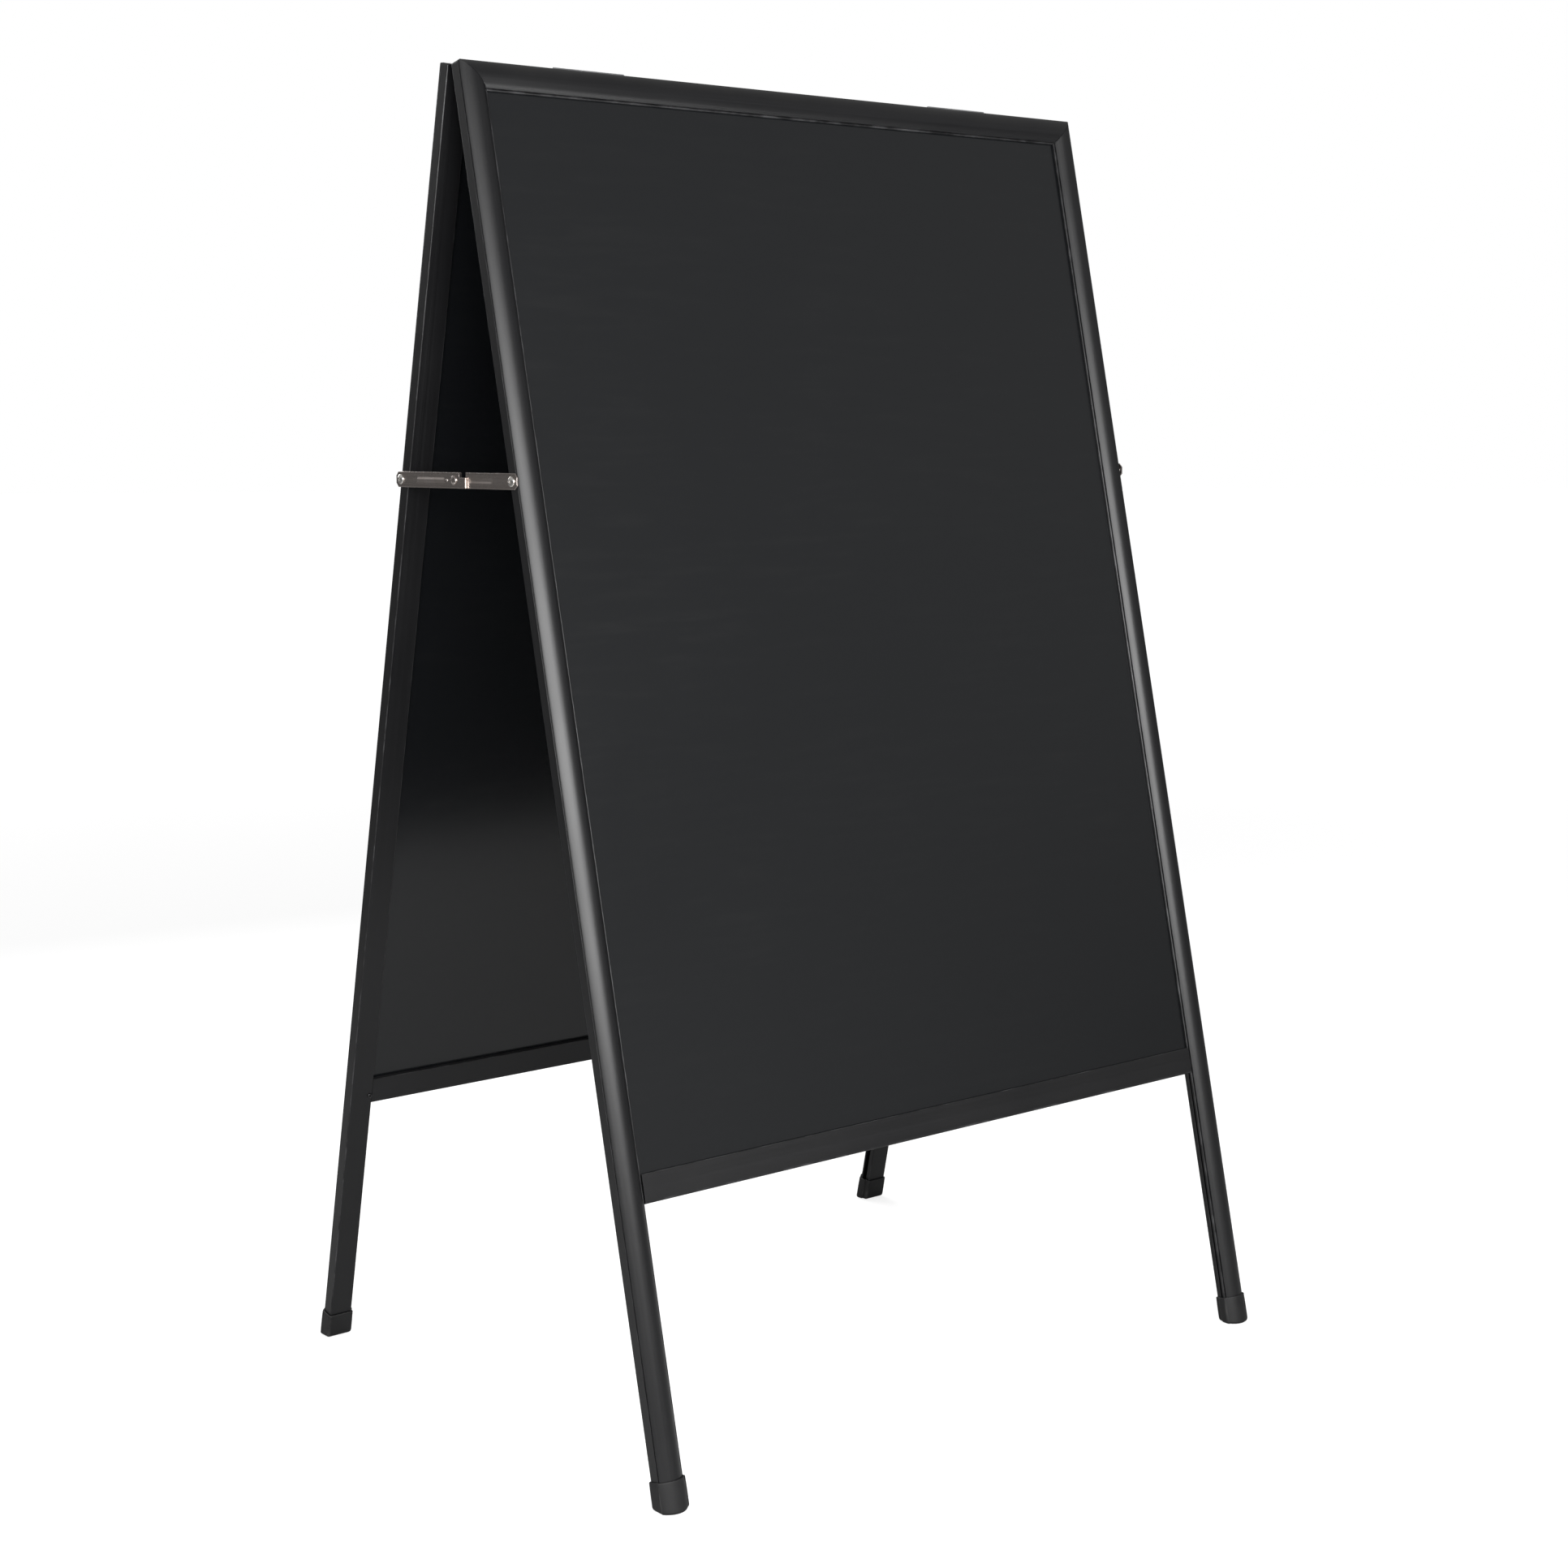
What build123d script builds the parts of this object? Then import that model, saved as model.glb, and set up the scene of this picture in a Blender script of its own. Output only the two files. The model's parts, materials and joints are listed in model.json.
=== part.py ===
from build123d import *
from math import asin, cos, radians, sin, sqrt
import os

# Folding A-frame sandwich board: two framed boards hinged along their top
# edges and held open by a two-link stay on each side.
# Millimetres. +Z is up, the fold line runs along X, the front board faces -Y.
# The origin is on the ground, under the middle of the object.

# ---- overall sizes -------------------------------------------------------
frame_width = 610.0        # over the outer faces of the stiles
leaf_length = 1020.0       # top edge to sole, along a leaf
leaf_tilt = 12.55          # each leaf from the vertical when open, degrees

# ---- frame trim: one hollow section for stiles and top rails -------------
trim_face = 19.6           # width across the rounded front and the back
side_depth = 9.9           # depth of the flat outer side
crest_depth = 14.9         # depth at the crest of the rounded front
crest_from_side = 10.5     # crest, measured in from the outer side
shoulder_depth = 10.2      # depth where the rounded front ends inside
groove_width = 0.7         # shadow line between side and front
groove_depth = 0.5
bead_width = 1.6           # thin bead that laps the board
bead_depth = 9.6
wall = 1.4
back_radius = 0.8
corner_radius = 2.0        # top corners of the frame
hollow_corner = 5.2        # front corner of the hollow, in from the outer side

# ---- board and its channel ------------------------------------------------
board_thickness = 3.0
board_play = 0.1           # between a board face and the channel
board_edge_gap = 0.5       # between a board edge and the channel floor
channel_back = 4.4         # from the back of the frame to the channel
channel_depth = 6.2        # from the bead to the channel floor

# ---- lower rail -------------------------------------------------------------
rail_top = 790.0           # from the top of the leaf to the rail's top edge
rail_height = 21.0
rail_back = 0.6            # rail's back face, in from the back of the frame
rail_front = 10.6
rail_wall = 1.3
rail_edge_radius = 2.0
butt_gap = 0.3             # between the rail's end and a stile

# ---- hidden connectors ------------------------------------------------------
key_arm = 38.0
key_play = 0.2
connector_length = 34.0
rail_screw_radius = 1.25
rail_screw_head_radius = 2.0
rail_screw_head = 1.1
rail_screw_edge = 2.2      # screw's axis, in from the channel floor
screw_tip_gap = 0.2        # screw's tip, short of the tongue's front

# ---- rubber feet -------------------------------------------------------------
foot_wall = 1.8
foot_height = 20.0
foot_sole = 3.5            # rubber below the stile's end, at its thinnest
foot_play = 0.1
sole_radius = 2.6

# ---- butt hinges --------------------------------------------------------------
hinge_pin_radius = 1.1
hinge_plate = 1.2
hinge_length = 62.5
hinge_flap = 18.0          # height of a hinge flap on the rail
hinge_centre = 185.0       # each hinge, out from the middle
flap_play = 0.3            # from the pin's axis to the face of each flap
hinge_fit = 0.05
knuckle_gap = 0.4          # between neighbouring knuckles
knuckle_clearance = 0.36   # round a knuckle, to the other leaf
knuckle_count = 5
hinge_screw_radius = 1.4
hinge_screw_head_radius = 2.6
hinge_screw_length = 7.0
hinge_screw_spacing = 22.0
hinge_screw_drop = 11.0    # hinge screws, down from the top of the leaf

# ---- side stays -----------------------------------------------------------------
stay_drop = 300.4          # end rivet, down from the top of the leaf
stay_inset = 5.0           # end rivet, out from the back of the frame
link_width = 11.5
link_thickness = 1.2
link_tail = 6.6            # link metal beyond its end rivet
link_clip = 2.9            # clipped off the corners of a link's ends
tongue_reach = 15.0        # outer link's tongue beyond the middle rivet
tongue_step = 6.5          # where the outer link steps down to its tongue
tongue_slope = 1.0         # run of that step
tongue_rise = 2.0          # top of the tongue above the middle rivet
neck_step = 13.4           # where the inner link steps down to its neck
washer_thickness = 0.5
washer_radius = 4.6
link_play = 0.15           # beside a link on its rivet
layer_gap = 0.35           # between the inner and the outer link
rivet_radius = 2.0
rivet_fit = 0.05
rivet_head_radius = 3.8
rivet_head_height = 1.4
rivet_rim = 1.05           # rounding of a rivet's head
rivet_tail_radius = 2.7
rivet_tail = 3.0           # upset part behind the stile's wall

# ---- cutting ------------------------------------------------------------------
through = 1.0              # how far a cut runs on beyond a face

# ---- derived -------------------------------------------------------------------
tilt = radians(leaf_tilt)
half_width = frame_width / 2
knuckle_radius = hinge_pin_radius + hinge_plate
knuckle_reach = knuckle_radius + knuckle_clearance
hinge_standoff = hinge_plate + flap_play
hinge_rise = sqrt(knuckle_reach ** 2 - hinge_standoff ** 2)
flap_start = sqrt(knuckle_reach ** 2 - flap_play ** 2) - hinge_rise
half_gap = hinge_standoff * cos(tilt) + hinge_rise * sin(tilt)
top_height = leaf_length * cos(tilt)
pin_height = top_height + hinge_rise * cos(tilt) - hinge_standoff * sin(tilt)
inner_face = trim_face + bead_width
channel_width = board_thickness + 2 * board_play
channel_front = channel_back + channel_width
channel_floor = inner_face - channel_depth
cavity_end = channel_floor - wall
rail_screw_inset = channel_floor + rail_screw_edge
stile_length = leaf_length - foot_sole / cos(tilt)
connector_height = rail_height - channel_depth - 2 * rail_wall - 2 * key_play
rail_middle = rail_top + channel_depth + rail_wall + key_play + connector_height / 2

inner_layer = washer_thickness + link_play
outer_layer = inner_layer + link_thickness + layer_gap
stay_half_span = half_gap + stay_drop * sin(tilt) + stay_inset * cos(tilt)
stay_height = top_height - stay_drop * cos(tilt) + stay_inset * sin(tilt)

# Leaf planes: x across, y up the leaf, z out of its face; origin at the
# middle of the top edge, on the leaf's back.
leaf_planes = {
    "front": Plane(origin=(0, -half_gap, top_height), x_dir=(1, 0, 0),
                   z_dir=(0, -cos(tilt), sin(tilt))),
    "rear": Plane(origin=(0, half_gap, top_height), x_dir=(-1, 0, 0),
                  z_dir=(0, cos(tilt), sin(tilt))),
}
side_signs = {"left": -1, "right": 1}

os.makedirs("parts", exist_ok=True)


def save(piece, name):
    """Label a finished piece and write its STEP file."""
    piece.part.label = name
    export_step(piece.part, f"parts/{name}.step")


def local_sign(leaf, side):
    """-1 or 1: the side of the leaf's own x axis that a world side lies on."""
    return side_signs[side] * round(leaf.x_dir.X)


def section_plane(leaf, corner, inward):
    """Plane of a trim section: x runs in from the outer side, y out to the front."""
    return Plane(origin=leaf.from_local_coords(corner), x_dir=inward,
                 z_dir=inward.cross(leaf.z_dir))


def across_plane(leaf, x, direction=1):
    """Plane across the leaf at x: its x axis points up the leaf or down it."""
    up = leaf.y_dir * direction
    return Plane(origin=leaf.from_local_coords((x, 0, 0)), x_dir=up,
                 z_dir=up.cross(leaf.z_dir))


def arc_middle(side, crest):
    """Point half way round an arc that leaves the crest level and ends at side."""
    run = abs(crest[0] - side[0])
    drop = crest[1] - side[1]
    radius = (run ** 2 + drop ** 2) / (2 * drop)
    half_turn = asin(run / radius) / 2
    x = crest[0] + (1 if side[0] > crest[0] else -1) * radius * sin(half_turn)
    return (x, crest[1] - radius * (1 - cos(half_turn)))


def front_curve(start, end):
    """The rounded front, from the outer side over the crest to the shoulder."""
    crest = (crest_from_side, crest_depth)
    ThreePointArc(start, arc_middle(start, crest), crest)
    ThreePointArc(crest, arc_middle(end, crest), end)


def trim_section():
    """Section of the frame trim: flat side, rounded front, bead, channel and hollow."""
    groove_floor = side_depth - groove_width
    bead_edge = bead_depth - bead_width / 2
    shoulder = (trim_face, shoulder_depth)
    with BuildSketch() as section:
        with BuildLine():
            Polyline((0, 0), (0, groove_floor), (groove_depth, groove_floor),
                     (groove_depth, side_depth), (0, side_depth))
            front_curve((0, side_depth), shoulder)
            Polyline(shoulder, (trim_face, bead_edge))
            ThreePointArc((trim_face, bead_edge), (trim_face + bead_width / 2, bead_depth),
                          (inner_face, bead_edge))
            Polyline((inner_face, bead_edge), (inner_face, channel_front),
                     (channel_floor, channel_front), (channel_floor, channel_back),
                     (trim_face, channel_back), (trim_face, 0), (0, 0))
        make_face()
        back_corners = section.vertices().group_by(Axis.Y)[0]
        fillet(back_corners, radius=back_radius)
        hollow_front = crest_depth - 2 * wall
        with BuildLine():
            Polyline((wall, wall), (wall, groove_floor - wall), (wall + groove_depth, groove_floor),
                     (wall + groove_depth, side_depth), (hollow_corner, hollow_front),
                     (cavity_end, hollow_front), (cavity_end, wall), (wall, wall))
        make_face(mode=Mode.SUBTRACT)
    return section.sketch


def foot_section(growth):
    """The leg's outline with its channel and shadow line filled, grown all round."""
    shoulder = (trim_face, shoulder_depth)
    with BuildSketch() as section:
        with BuildLine():
            Polyline((0, 0), (0, side_depth))
            front_curve((0, side_depth), shoulder)
            Polyline(shoulder, (inner_face, bead_depth), (inner_face, channel_back),
                     (trim_face, channel_back), (trim_face, 0), (0, 0))
        make_face()
        offset(amount=growth, kind=Kind.INTERSECTION)
    return section.sketch


def frame_window(leaf):
    """Solid inside the frame's outline, with its two top corners rounded."""
    with BuildPart() as window:
        with BuildSketch(leaf.offset(-through)):
            with Locations((0, -leaf_length)):
                RectangleRounded(frame_width, 2 * leaf_length, corner_radius)
        extrude(amount=crest_depth + 2 * through)
    return window.part


def mitre_plane(leaf, sign):
    """Plane of the mitre at one top corner; its normal points to the top rail."""
    corner = leaf.from_local_coords((sign * half_width, 0, 0))
    return Plane(origin=corner, z_dir=leaf.y_dir - leaf.x_dir * sign)


def stay_rivet_point(leaf, sign):
    """A point on the axis of a stay's end rivet, just outside the stile."""
    return leaf.from_local_coords((sign * (half_width + through), -stay_drop, stay_inset))


# ---- frame ----------------------------------------------------------------------
def make_stile(leaf, side, name):
    """Side member: mitred at the top, and run on below the lower rail as a leg."""
    sign = local_sign(leaf, side)
    top = (sign * half_width, 0, 0)
    bottom = (sign * half_width, -stile_length, 0)
    corner = top if sign < 0 else bottom
    with BuildPart() as stile:
        with BuildSketch(section_plane(leaf, corner, leaf.x_dir * -sign)):
            add(trim_section())
        extrude(amount=stile_length)
        split(bisect_by=mitre_plane(leaf, sign), keep=Keep.BOTTOM)
        add(frame_window(leaf), mode=Mode.INTERSECT)
        outer_face = Plane(origin=stay_rivet_point(leaf, sign), z_dir=leaf.x_dir * sign)
        with BuildSketch(outer_face):
            Circle(rivet_radius)
        extrude(amount=-(wall + 2 * through), mode=Mode.SUBTRACT)
        with BuildSketch(leaf.offset(-through)):
            with Locations((sign * (half_width - rail_screw_inset), -rail_middle)):
                Circle(rail_screw_radius)
        extrude(amount=through + channel_back + board_play, mode=Mode.SUBTRACT)
    save(stile, name)


def make_top_rail(leaf, name):
    """Top member: the same trim, mitred at both ends, drilled for the hinges."""
    with BuildPart() as rail:
        start = (half_width, 0, 0)
        with BuildSketch(section_plane(leaf, start, leaf.y_dir * -1)):
            add(trim_section())
        extrude(amount=frame_width)
        for sign in (-1, 1):
            split(bisect_by=mitre_plane(leaf, sign), keep=Keep.TOP)
        add(frame_window(leaf), mode=Mode.INTERSECT)
        with BuildSketch(leaf.offset(-through)):
            with Locations(*hinge_screw_places()):
                Circle(hinge_screw_radius)
        extrude(amount=wall + 2 * through, mode=Mode.SUBTRACT)
    save(rail, name)


def make_lower_rail(leaf, name):
    """Flat hollow bar between the stiles, with a channel for the board's lower edge."""
    front_half = half_width - inner_face - butt_gap
    back_half = half_width - trim_face - butt_gap
    with BuildPart() as rail:
        with BuildSketch(across_plane(leaf, back_half, -1)) as section:
            with BuildLine():
                low = rail_top + rail_height
                Polyline((rail_top, rail_back), (low, rail_back), (low, rail_front),
                         (rail_top, rail_front), (rail_top, rail_back))
            make_face()
            fillet(section.vertices().group_by(Axis.X)[-1], radius=rail_edge_radius)
            with Locations((rail_top + channel_depth / 2, channel_back + channel_width / 2)):
                Rectangle(channel_depth, channel_width, mode=Mode.SUBTRACT)
            with BuildLine():
                top = rail_top + channel_depth + rail_wall
                base = low - rail_wall
                inside = rail_back + rail_wall
                outside = rail_front - rail_wall
                Polyline((top, inside), (base, inside), (base, outside), (top, outside),
                         (top, inside))
            make_face(mode=Mode.SUBTRACT)
        extrude(amount=2 * back_half)
        depth = rail_front - channel_front + board_play + through
        for sign in (-1, 1):
            with BuildSketch(leaf.offset(channel_front - board_play)):
                with Locations((sign * (front_half + back_half) / 2, -rail_top - rail_height / 2)):
                    Rectangle(back_half - front_half, rail_height + 2 * through)
            extrude(amount=depth, mode=Mode.SUBTRACT)
    save(rail, name)


def make_board(leaf, name):
    """The writing board, held all round in the channels."""
    edge = channel_floor + board_edge_gap
    width = frame_width - 2 * edge
    low = rail_top + channel_depth - board_edge_gap
    with BuildPart() as board:
        with BuildSketch(leaf.offset(channel_back + board_play)):
            with Locations((0, -(edge + low) / 2)):
                Rectangle(width, low - edge)
        extrude(amount=board_thickness)
    save(board, name)


def make_corner_key(leaf, side, name):
    """L-shaped key inside a mitred top corner."""
    sign = local_sign(leaf, side)
    near = wall + groove_depth + key_play
    far = cavity_end - key_play
    with BuildPart() as key:
        with BuildSketch(leaf.offset(wall + key_play)):
            with BuildLine():
                outer = half_width - near
                inner = half_width - far
                tip = half_width - near - key_arm
                points = [(outer, -near), (tip, -near), (tip, -far), (inner, -far),
                          (inner, -near - key_arm), (outer, -near - key_arm), (outer, -near)]
                Polyline(*[(sign * x, y) for x, y in points])
            make_face()
        extrude(amount=side_depth - groove_width - 2 * wall - 2 * key_play)
    save(key, name)


def make_rail_connector(leaf, side, name):
    """Block inside the rail's end, with a tongue that enters the stile's channel."""
    sign = local_sign(leaf, side)
    block_end = half_width - trim_face - butt_gap
    tongue_end = half_width - channel_floor - board_edge_gap
    inside = rail_back + rail_wall + key_play
    outside = rail_front - rail_wall - key_play
    with BuildPart() as connector:
        with BuildSketch(leaf.offset(inside)):
            with Locations((sign * (block_end - bead_width - connector_length / 2), -rail_middle)):
                Rectangle(connector_length, connector_height)
        extrude(amount=outside - inside)
        with BuildSketch(leaf.offset(channel_back + board_play)):
            middle = (tongue_end + block_end - bead_width - connector_length) / 2
            with Locations((sign * middle, -rail_middle)):
                Rectangle(2 * (tongue_end - middle), connector_height)
        extrude(amount=board_thickness)
        with BuildSketch(leaf):
            with Locations((sign * (half_width - rail_screw_inset), -rail_middle)):
                Circle(rail_screw_radius)
        extrude(amount=channel_back + board_play + board_thickness, mode=Mode.SUBTRACT)
    save(connector, name)


def make_rail_screws(leaf, name):
    """Two pan-head screws from the back, through the stiles into the connectors."""
    with BuildPart() as screws:
        with BuildSketch(leaf.offset(-rail_screw_head)):
            for sign in (-1, 1):
                with Locations((sign * (half_width - rail_screw_inset), -rail_middle)):
                    Circle(rail_screw_head_radius)
        extrude(amount=rail_screw_head)
        with BuildSketch(leaf):
            for sign in (-1, 1):
                with Locations((sign * (half_width - rail_screw_inset), -rail_middle)):
                    Circle(rail_screw_radius)
        extrude(amount=channel_back + board_play + board_thickness - screw_tip_gap)
    save(screws, name)


def make_foot(leaf, side, name):
    """Push-on rubber foot that follows the leg's section, with a level sole."""
    sign = local_sign(leaf, side)
    inward = leaf.x_dir * -sign
    top_at = leaf_length - foot_height
    below = leaf_length + trim_face
    outer_start = top_at if sign < 0 else below
    pocket_start = top_at if sign < 0 else stile_length
    with BuildPart() as foot:
        corner = (sign * half_width, -outer_start, 0)
        with BuildSketch(section_plane(leaf, corner, inward)):
            add(foot_section(foot_wall))
        extrude(amount=below - top_at)
        Box(4 * frame_width, 4 * frame_width, 2 * leaf_length,
            align=(Align.CENTER, Align.CENTER, Align.MAX), mode=Mode.SUBTRACT)
        fillet(foot.edges().group_by(Axis.Z)[0], radius=sole_radius)
        corner = (sign * half_width, -pocket_start, 0)
        with BuildSketch(section_plane(leaf, corner, inward)):
            add(foot_section(foot_play))
        extrude(amount=stile_length - top_at, mode=Mode.SUBTRACT)
    save(foot, name)


# ---- hinges ---------------------------------------------------------------------
def hinge_screw_places():
    """Screw centres of both hinges on the back of a top rail."""
    rows = (-hinge_screw_spacing, 0, hinge_screw_spacing)
    return [(sign * hinge_centre + row, -hinge_screw_drop) for sign in (-1, 1) for row in rows]


def make_hinge_leaf(leaf, side, name, first_knuckle, bore):
    """One flap of a butt hinge with every second knuckle."""
    centre = local_sign(leaf, side) * hinge_centre
    step = hinge_length / knuckle_count
    with BuildPart() as flap:
        with BuildSketch(leaf.offset(-hinge_plate)):
            with Locations((centre, -(hinge_flap + flap_start) / 2)):
                Rectangle(hinge_length, hinge_flap - flap_start)
            for index in range(first_knuckle, knuckle_count, 2):
                x = centre + (index - (knuckle_count - 1) / 2) * step
                with Locations((x, (hinge_rise - flap_start) / 2 - flap_start / 2)):
                    Rectangle(step - knuckle_gap, hinge_rise + 2 * flap_start)
        extrude(amount=hinge_plate)
        for index in range(first_knuckle, knuckle_count, 2):
            x = centre + (index - knuckle_count / 2) * step + knuckle_gap / 2
            with BuildSketch(across_plane(leaf, x)):
                with Locations((hinge_rise, -hinge_standoff)):
                    Circle(knuckle_radius)
            extrude(amount=step - knuckle_gap)
        with BuildSketch(across_plane(leaf, centre - hinge_length)):
            with Locations((hinge_rise, -hinge_standoff)):
                Circle(bore)
        extrude(amount=2 * hinge_length, mode=Mode.SUBTRACT)
        for x, y in hinge_screw_places():
            with Locations(leaf.location * Pos(x, y, 0)):
                Cone(hinge_screw_head_radius, hinge_screw_radius, hinge_plate,
                     align=(Align.CENTER, Align.CENTER, Align.MAX), mode=Mode.SUBTRACT)
    save(flap, name)


def make_hinge_screws(leaf, name):
    """Countersunk screws of both hinges, into the top rail's back wall."""
    with BuildPart() as screws:
        for x, y in hinge_screw_places():
            with Locations(leaf.location * Pos(x, y, 0)):
                Cone(hinge_screw_head_radius, hinge_screw_radius, hinge_plate,
                     align=(Align.CENTER, Align.CENTER, Align.MAX))
                Cylinder(hinge_screw_radius, hinge_screw_length,
                         align=(Align.CENTER, Align.CENTER, Align.MIN))
    save(screws, name)


def make_hinge_pin(side, name):
    """Pin held in the front flap's knuckles, free to turn in the rear flap's."""
    x = side_signs[side] * hinge_centre
    with BuildPart() as pin:
        with BuildSketch(Plane(origin=(x - hinge_length / 2, 0, pin_height), z_dir=(1, 0, 0))):
            Circle(hinge_pin_radius)
        extrude(amount=hinge_length)
    save(pin, name)


# ---- stays ------------------------------------------------------------------------
def stay_plane(side, outward):
    """Upright plane beside a stile: x runs to the rear, y up, from the middle rivet."""
    x = side_signs[side] * (half_width + outward)
    return Plane(origin=(x, 0, stay_height), x_dir=(0, 1, 0), z_dir=(1, 0, 0))


def make_link(side, name, outward, outline, holes):
    """Flat stay link: an outline and its rivet holes, in the plane of the stay."""
    with BuildPart() as link:
        with BuildSketch(stay_plane(side, outward)):
            with BuildLine():
                Polyline(*outline, outline[0])
            make_face()
            for y, radius in holes:
                with Locations((y, 0)):
                    Circle(radius, mode=Mode.SUBTRACT)
        extrude(amount=side_signs[side] * link_thickness)
    save(link, name)


def make_inner_link(side, name):
    """Link of the front leaf, next to the stile: notched on top beside its end."""
    half = link_width / 2
    clip = link_clip
    tail = stay_half_span + link_tail
    outline = [(-tail, -half + clip), (-tail, half - clip), (-tail + clip, half),
               (-neck_step, half), (-neck_step, tongue_rise), (-tongue_step, tongue_rise),
               (-tongue_step, half), (half - clip, half), (half, half - clip),
               (half, -half + clip), (half - clip, -half), (-tail + clip, -half)]
    free = rivet_radius + rivet_fit
    make_link(side, name, inner_layer, outline, [(-stay_half_span, free), (0, free)])


def make_outer_link(side, name):
    """Link of the rear leaf: it laps the inner link and ends in a stepped tongue."""
    half = link_width / 2
    clip = link_clip
    tail = stay_half_span + link_tail
    outline = [(-tongue_reach, -half), (-tongue_reach, tongue_rise),
               (-tongue_step - tongue_slope, tongue_rise), (-tongue_step, half), (tail - clip, half),
               (tail, half - clip), (tail, -half + clip), (tail - clip, -half)]
    free = rivet_radius + rivet_fit
    make_link(side, name, outer_layer, outline, [(stay_half_span, free), (0, rivet_radius)])


def make_rivet(side, name, y, parts):
    """Rivet on a stay: (from, to, radius) lengths outward from the stile's face, head last."""
    direction = side_signs[side]
    with BuildPart() as rivet:
        for start, end, radius in parts:
            with BuildSketch(stay_plane(side, start)):
                with Locations((y, 0)):
                    Circle(radius)
            extrude(amount=direction * (end - start))
        rim = rivet.edges().group_by(Axis.X)[-1 if direction > 0 else 0]
        fillet(rim, radius=rivet_rim)
    save(rivet, name)


def make_end_rivet(side, name, y, layer):
    """Blind rivet through the stile's wall that carries one link on its shank."""
    under_head = layer + link_thickness + link_play
    make_rivet(side, name, y, [(-wall - rivet_tail, -wall, rivet_tail_radius),
                               (-wall, under_head, rivet_radius),
                               (under_head, under_head + rivet_head_height, rivet_head_radius)])


def make_middle_rivet(side, name):
    """Rivet at the knee of a stay, fast in the outer link."""
    face = outer_layer + link_thickness
    make_rivet(side, name, 0, [(outer_layer, face, rivet_radius),
                               (face, face + rivet_head_height, rivet_head_radius)])


def make_washer(side, name, y, thickness):
    """Washer between a stile and its link."""
    with BuildPart() as washer:
        with BuildSketch(stay_plane(side, 0)):
            with Locations((y, 0)):
                Circle(washer_radius)
                Circle(rivet_radius, mode=Mode.SUBTRACT)
        extrude(amount=side_signs[side] * thickness)
    save(washer, name)


# ---- build every piece ---------------------------------------------------------------
for end, leaf in leaf_planes.items():
    rivet_y = stay_half_span * (-1 if end == "front" else 1)
    layer = inner_layer if end == "front" else outer_layer
    first_knuckle = 0 if end == "front" else 1
    bore = hinge_pin_radius + (0 if end == "front" else hinge_fit)
    make_top_rail(leaf, f"{end}_top_rail")
    make_lower_rail(leaf, f"{end}_lower_rail")
    make_board(leaf, f"{end}_board")
    make_rail_screws(leaf, f"{end}_rail_screws")
    make_hinge_screws(leaf, f"{end}_hinge_screws")
    for side in side_signs:
        make_stile(leaf, side, f"{end}_{side}_stile")
        make_corner_key(leaf, side, f"{end}_{side}_corner_key")
        make_rail_connector(leaf, side, f"{end}_{side}_rail_connector")
        make_foot(leaf, side, f"{end}_{side}_foot")
        make_hinge_leaf(leaf, side, f"{end}_{side}_hinge_flap", first_knuckle, bore)
        make_end_rivet(side, f"{end}_{side}_stay_rivet", rivet_y, layer)
        make_washer(side, f"{end}_{side}_stay_washer", rivet_y, layer - link_play)

for side in side_signs:
    make_hinge_pin(side, f"{side}_hinge_pin")
    make_inner_link(side, f"{side}_front_link")
    make_outer_link(side, f"{side}_rear_link")
    make_middle_rivet(side, f"{side}_middle_rivet")

print(f"pin height {pin_height:.3f}, half gap {half_gap:.3f}")
print(f"stay height {stay_height:.3f}, half span {stay_half_span:.3f}")
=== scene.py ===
# %% [markdown]
# # A folding sandwich board
#
# The object is an A-frame: two framed writing boards, hinged along their top
# edges and held open by a two-link stay on each side. The imported model
# already holds every part at its real size and place, so this lesson only
# dresses it. The first step loads that model and keeps its outer box.

# %% Load the imported model
import json
from math import asin, atan2, cos, pi, radians, sin

import bmesh
import bpy
import numpy as np
from mathutils import Matrix, Vector


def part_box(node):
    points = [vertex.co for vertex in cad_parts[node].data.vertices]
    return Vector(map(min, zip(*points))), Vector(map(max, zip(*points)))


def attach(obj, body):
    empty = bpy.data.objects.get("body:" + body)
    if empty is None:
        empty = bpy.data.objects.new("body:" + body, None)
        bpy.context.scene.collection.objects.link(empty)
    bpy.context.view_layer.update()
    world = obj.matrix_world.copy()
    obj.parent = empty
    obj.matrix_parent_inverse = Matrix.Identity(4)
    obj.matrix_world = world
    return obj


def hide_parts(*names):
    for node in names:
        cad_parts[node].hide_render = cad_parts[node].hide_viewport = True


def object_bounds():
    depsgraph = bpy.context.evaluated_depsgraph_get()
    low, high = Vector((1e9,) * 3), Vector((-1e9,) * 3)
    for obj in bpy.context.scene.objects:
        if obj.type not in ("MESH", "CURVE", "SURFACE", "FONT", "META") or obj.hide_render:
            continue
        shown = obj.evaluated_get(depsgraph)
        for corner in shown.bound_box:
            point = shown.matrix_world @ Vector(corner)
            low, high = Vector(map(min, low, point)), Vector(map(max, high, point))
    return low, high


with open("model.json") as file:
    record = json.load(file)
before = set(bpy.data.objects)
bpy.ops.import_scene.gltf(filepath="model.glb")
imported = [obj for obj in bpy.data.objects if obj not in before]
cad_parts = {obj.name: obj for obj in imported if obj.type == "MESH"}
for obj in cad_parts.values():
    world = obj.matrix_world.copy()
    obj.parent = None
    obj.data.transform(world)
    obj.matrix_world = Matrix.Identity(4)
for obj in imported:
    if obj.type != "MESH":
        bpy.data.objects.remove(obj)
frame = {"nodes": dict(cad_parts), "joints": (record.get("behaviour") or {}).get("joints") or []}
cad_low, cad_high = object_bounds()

MM = 0.001
print("nodes", len(frame["nodes"]), "box", list(cad_low), list(cad_high))

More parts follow.
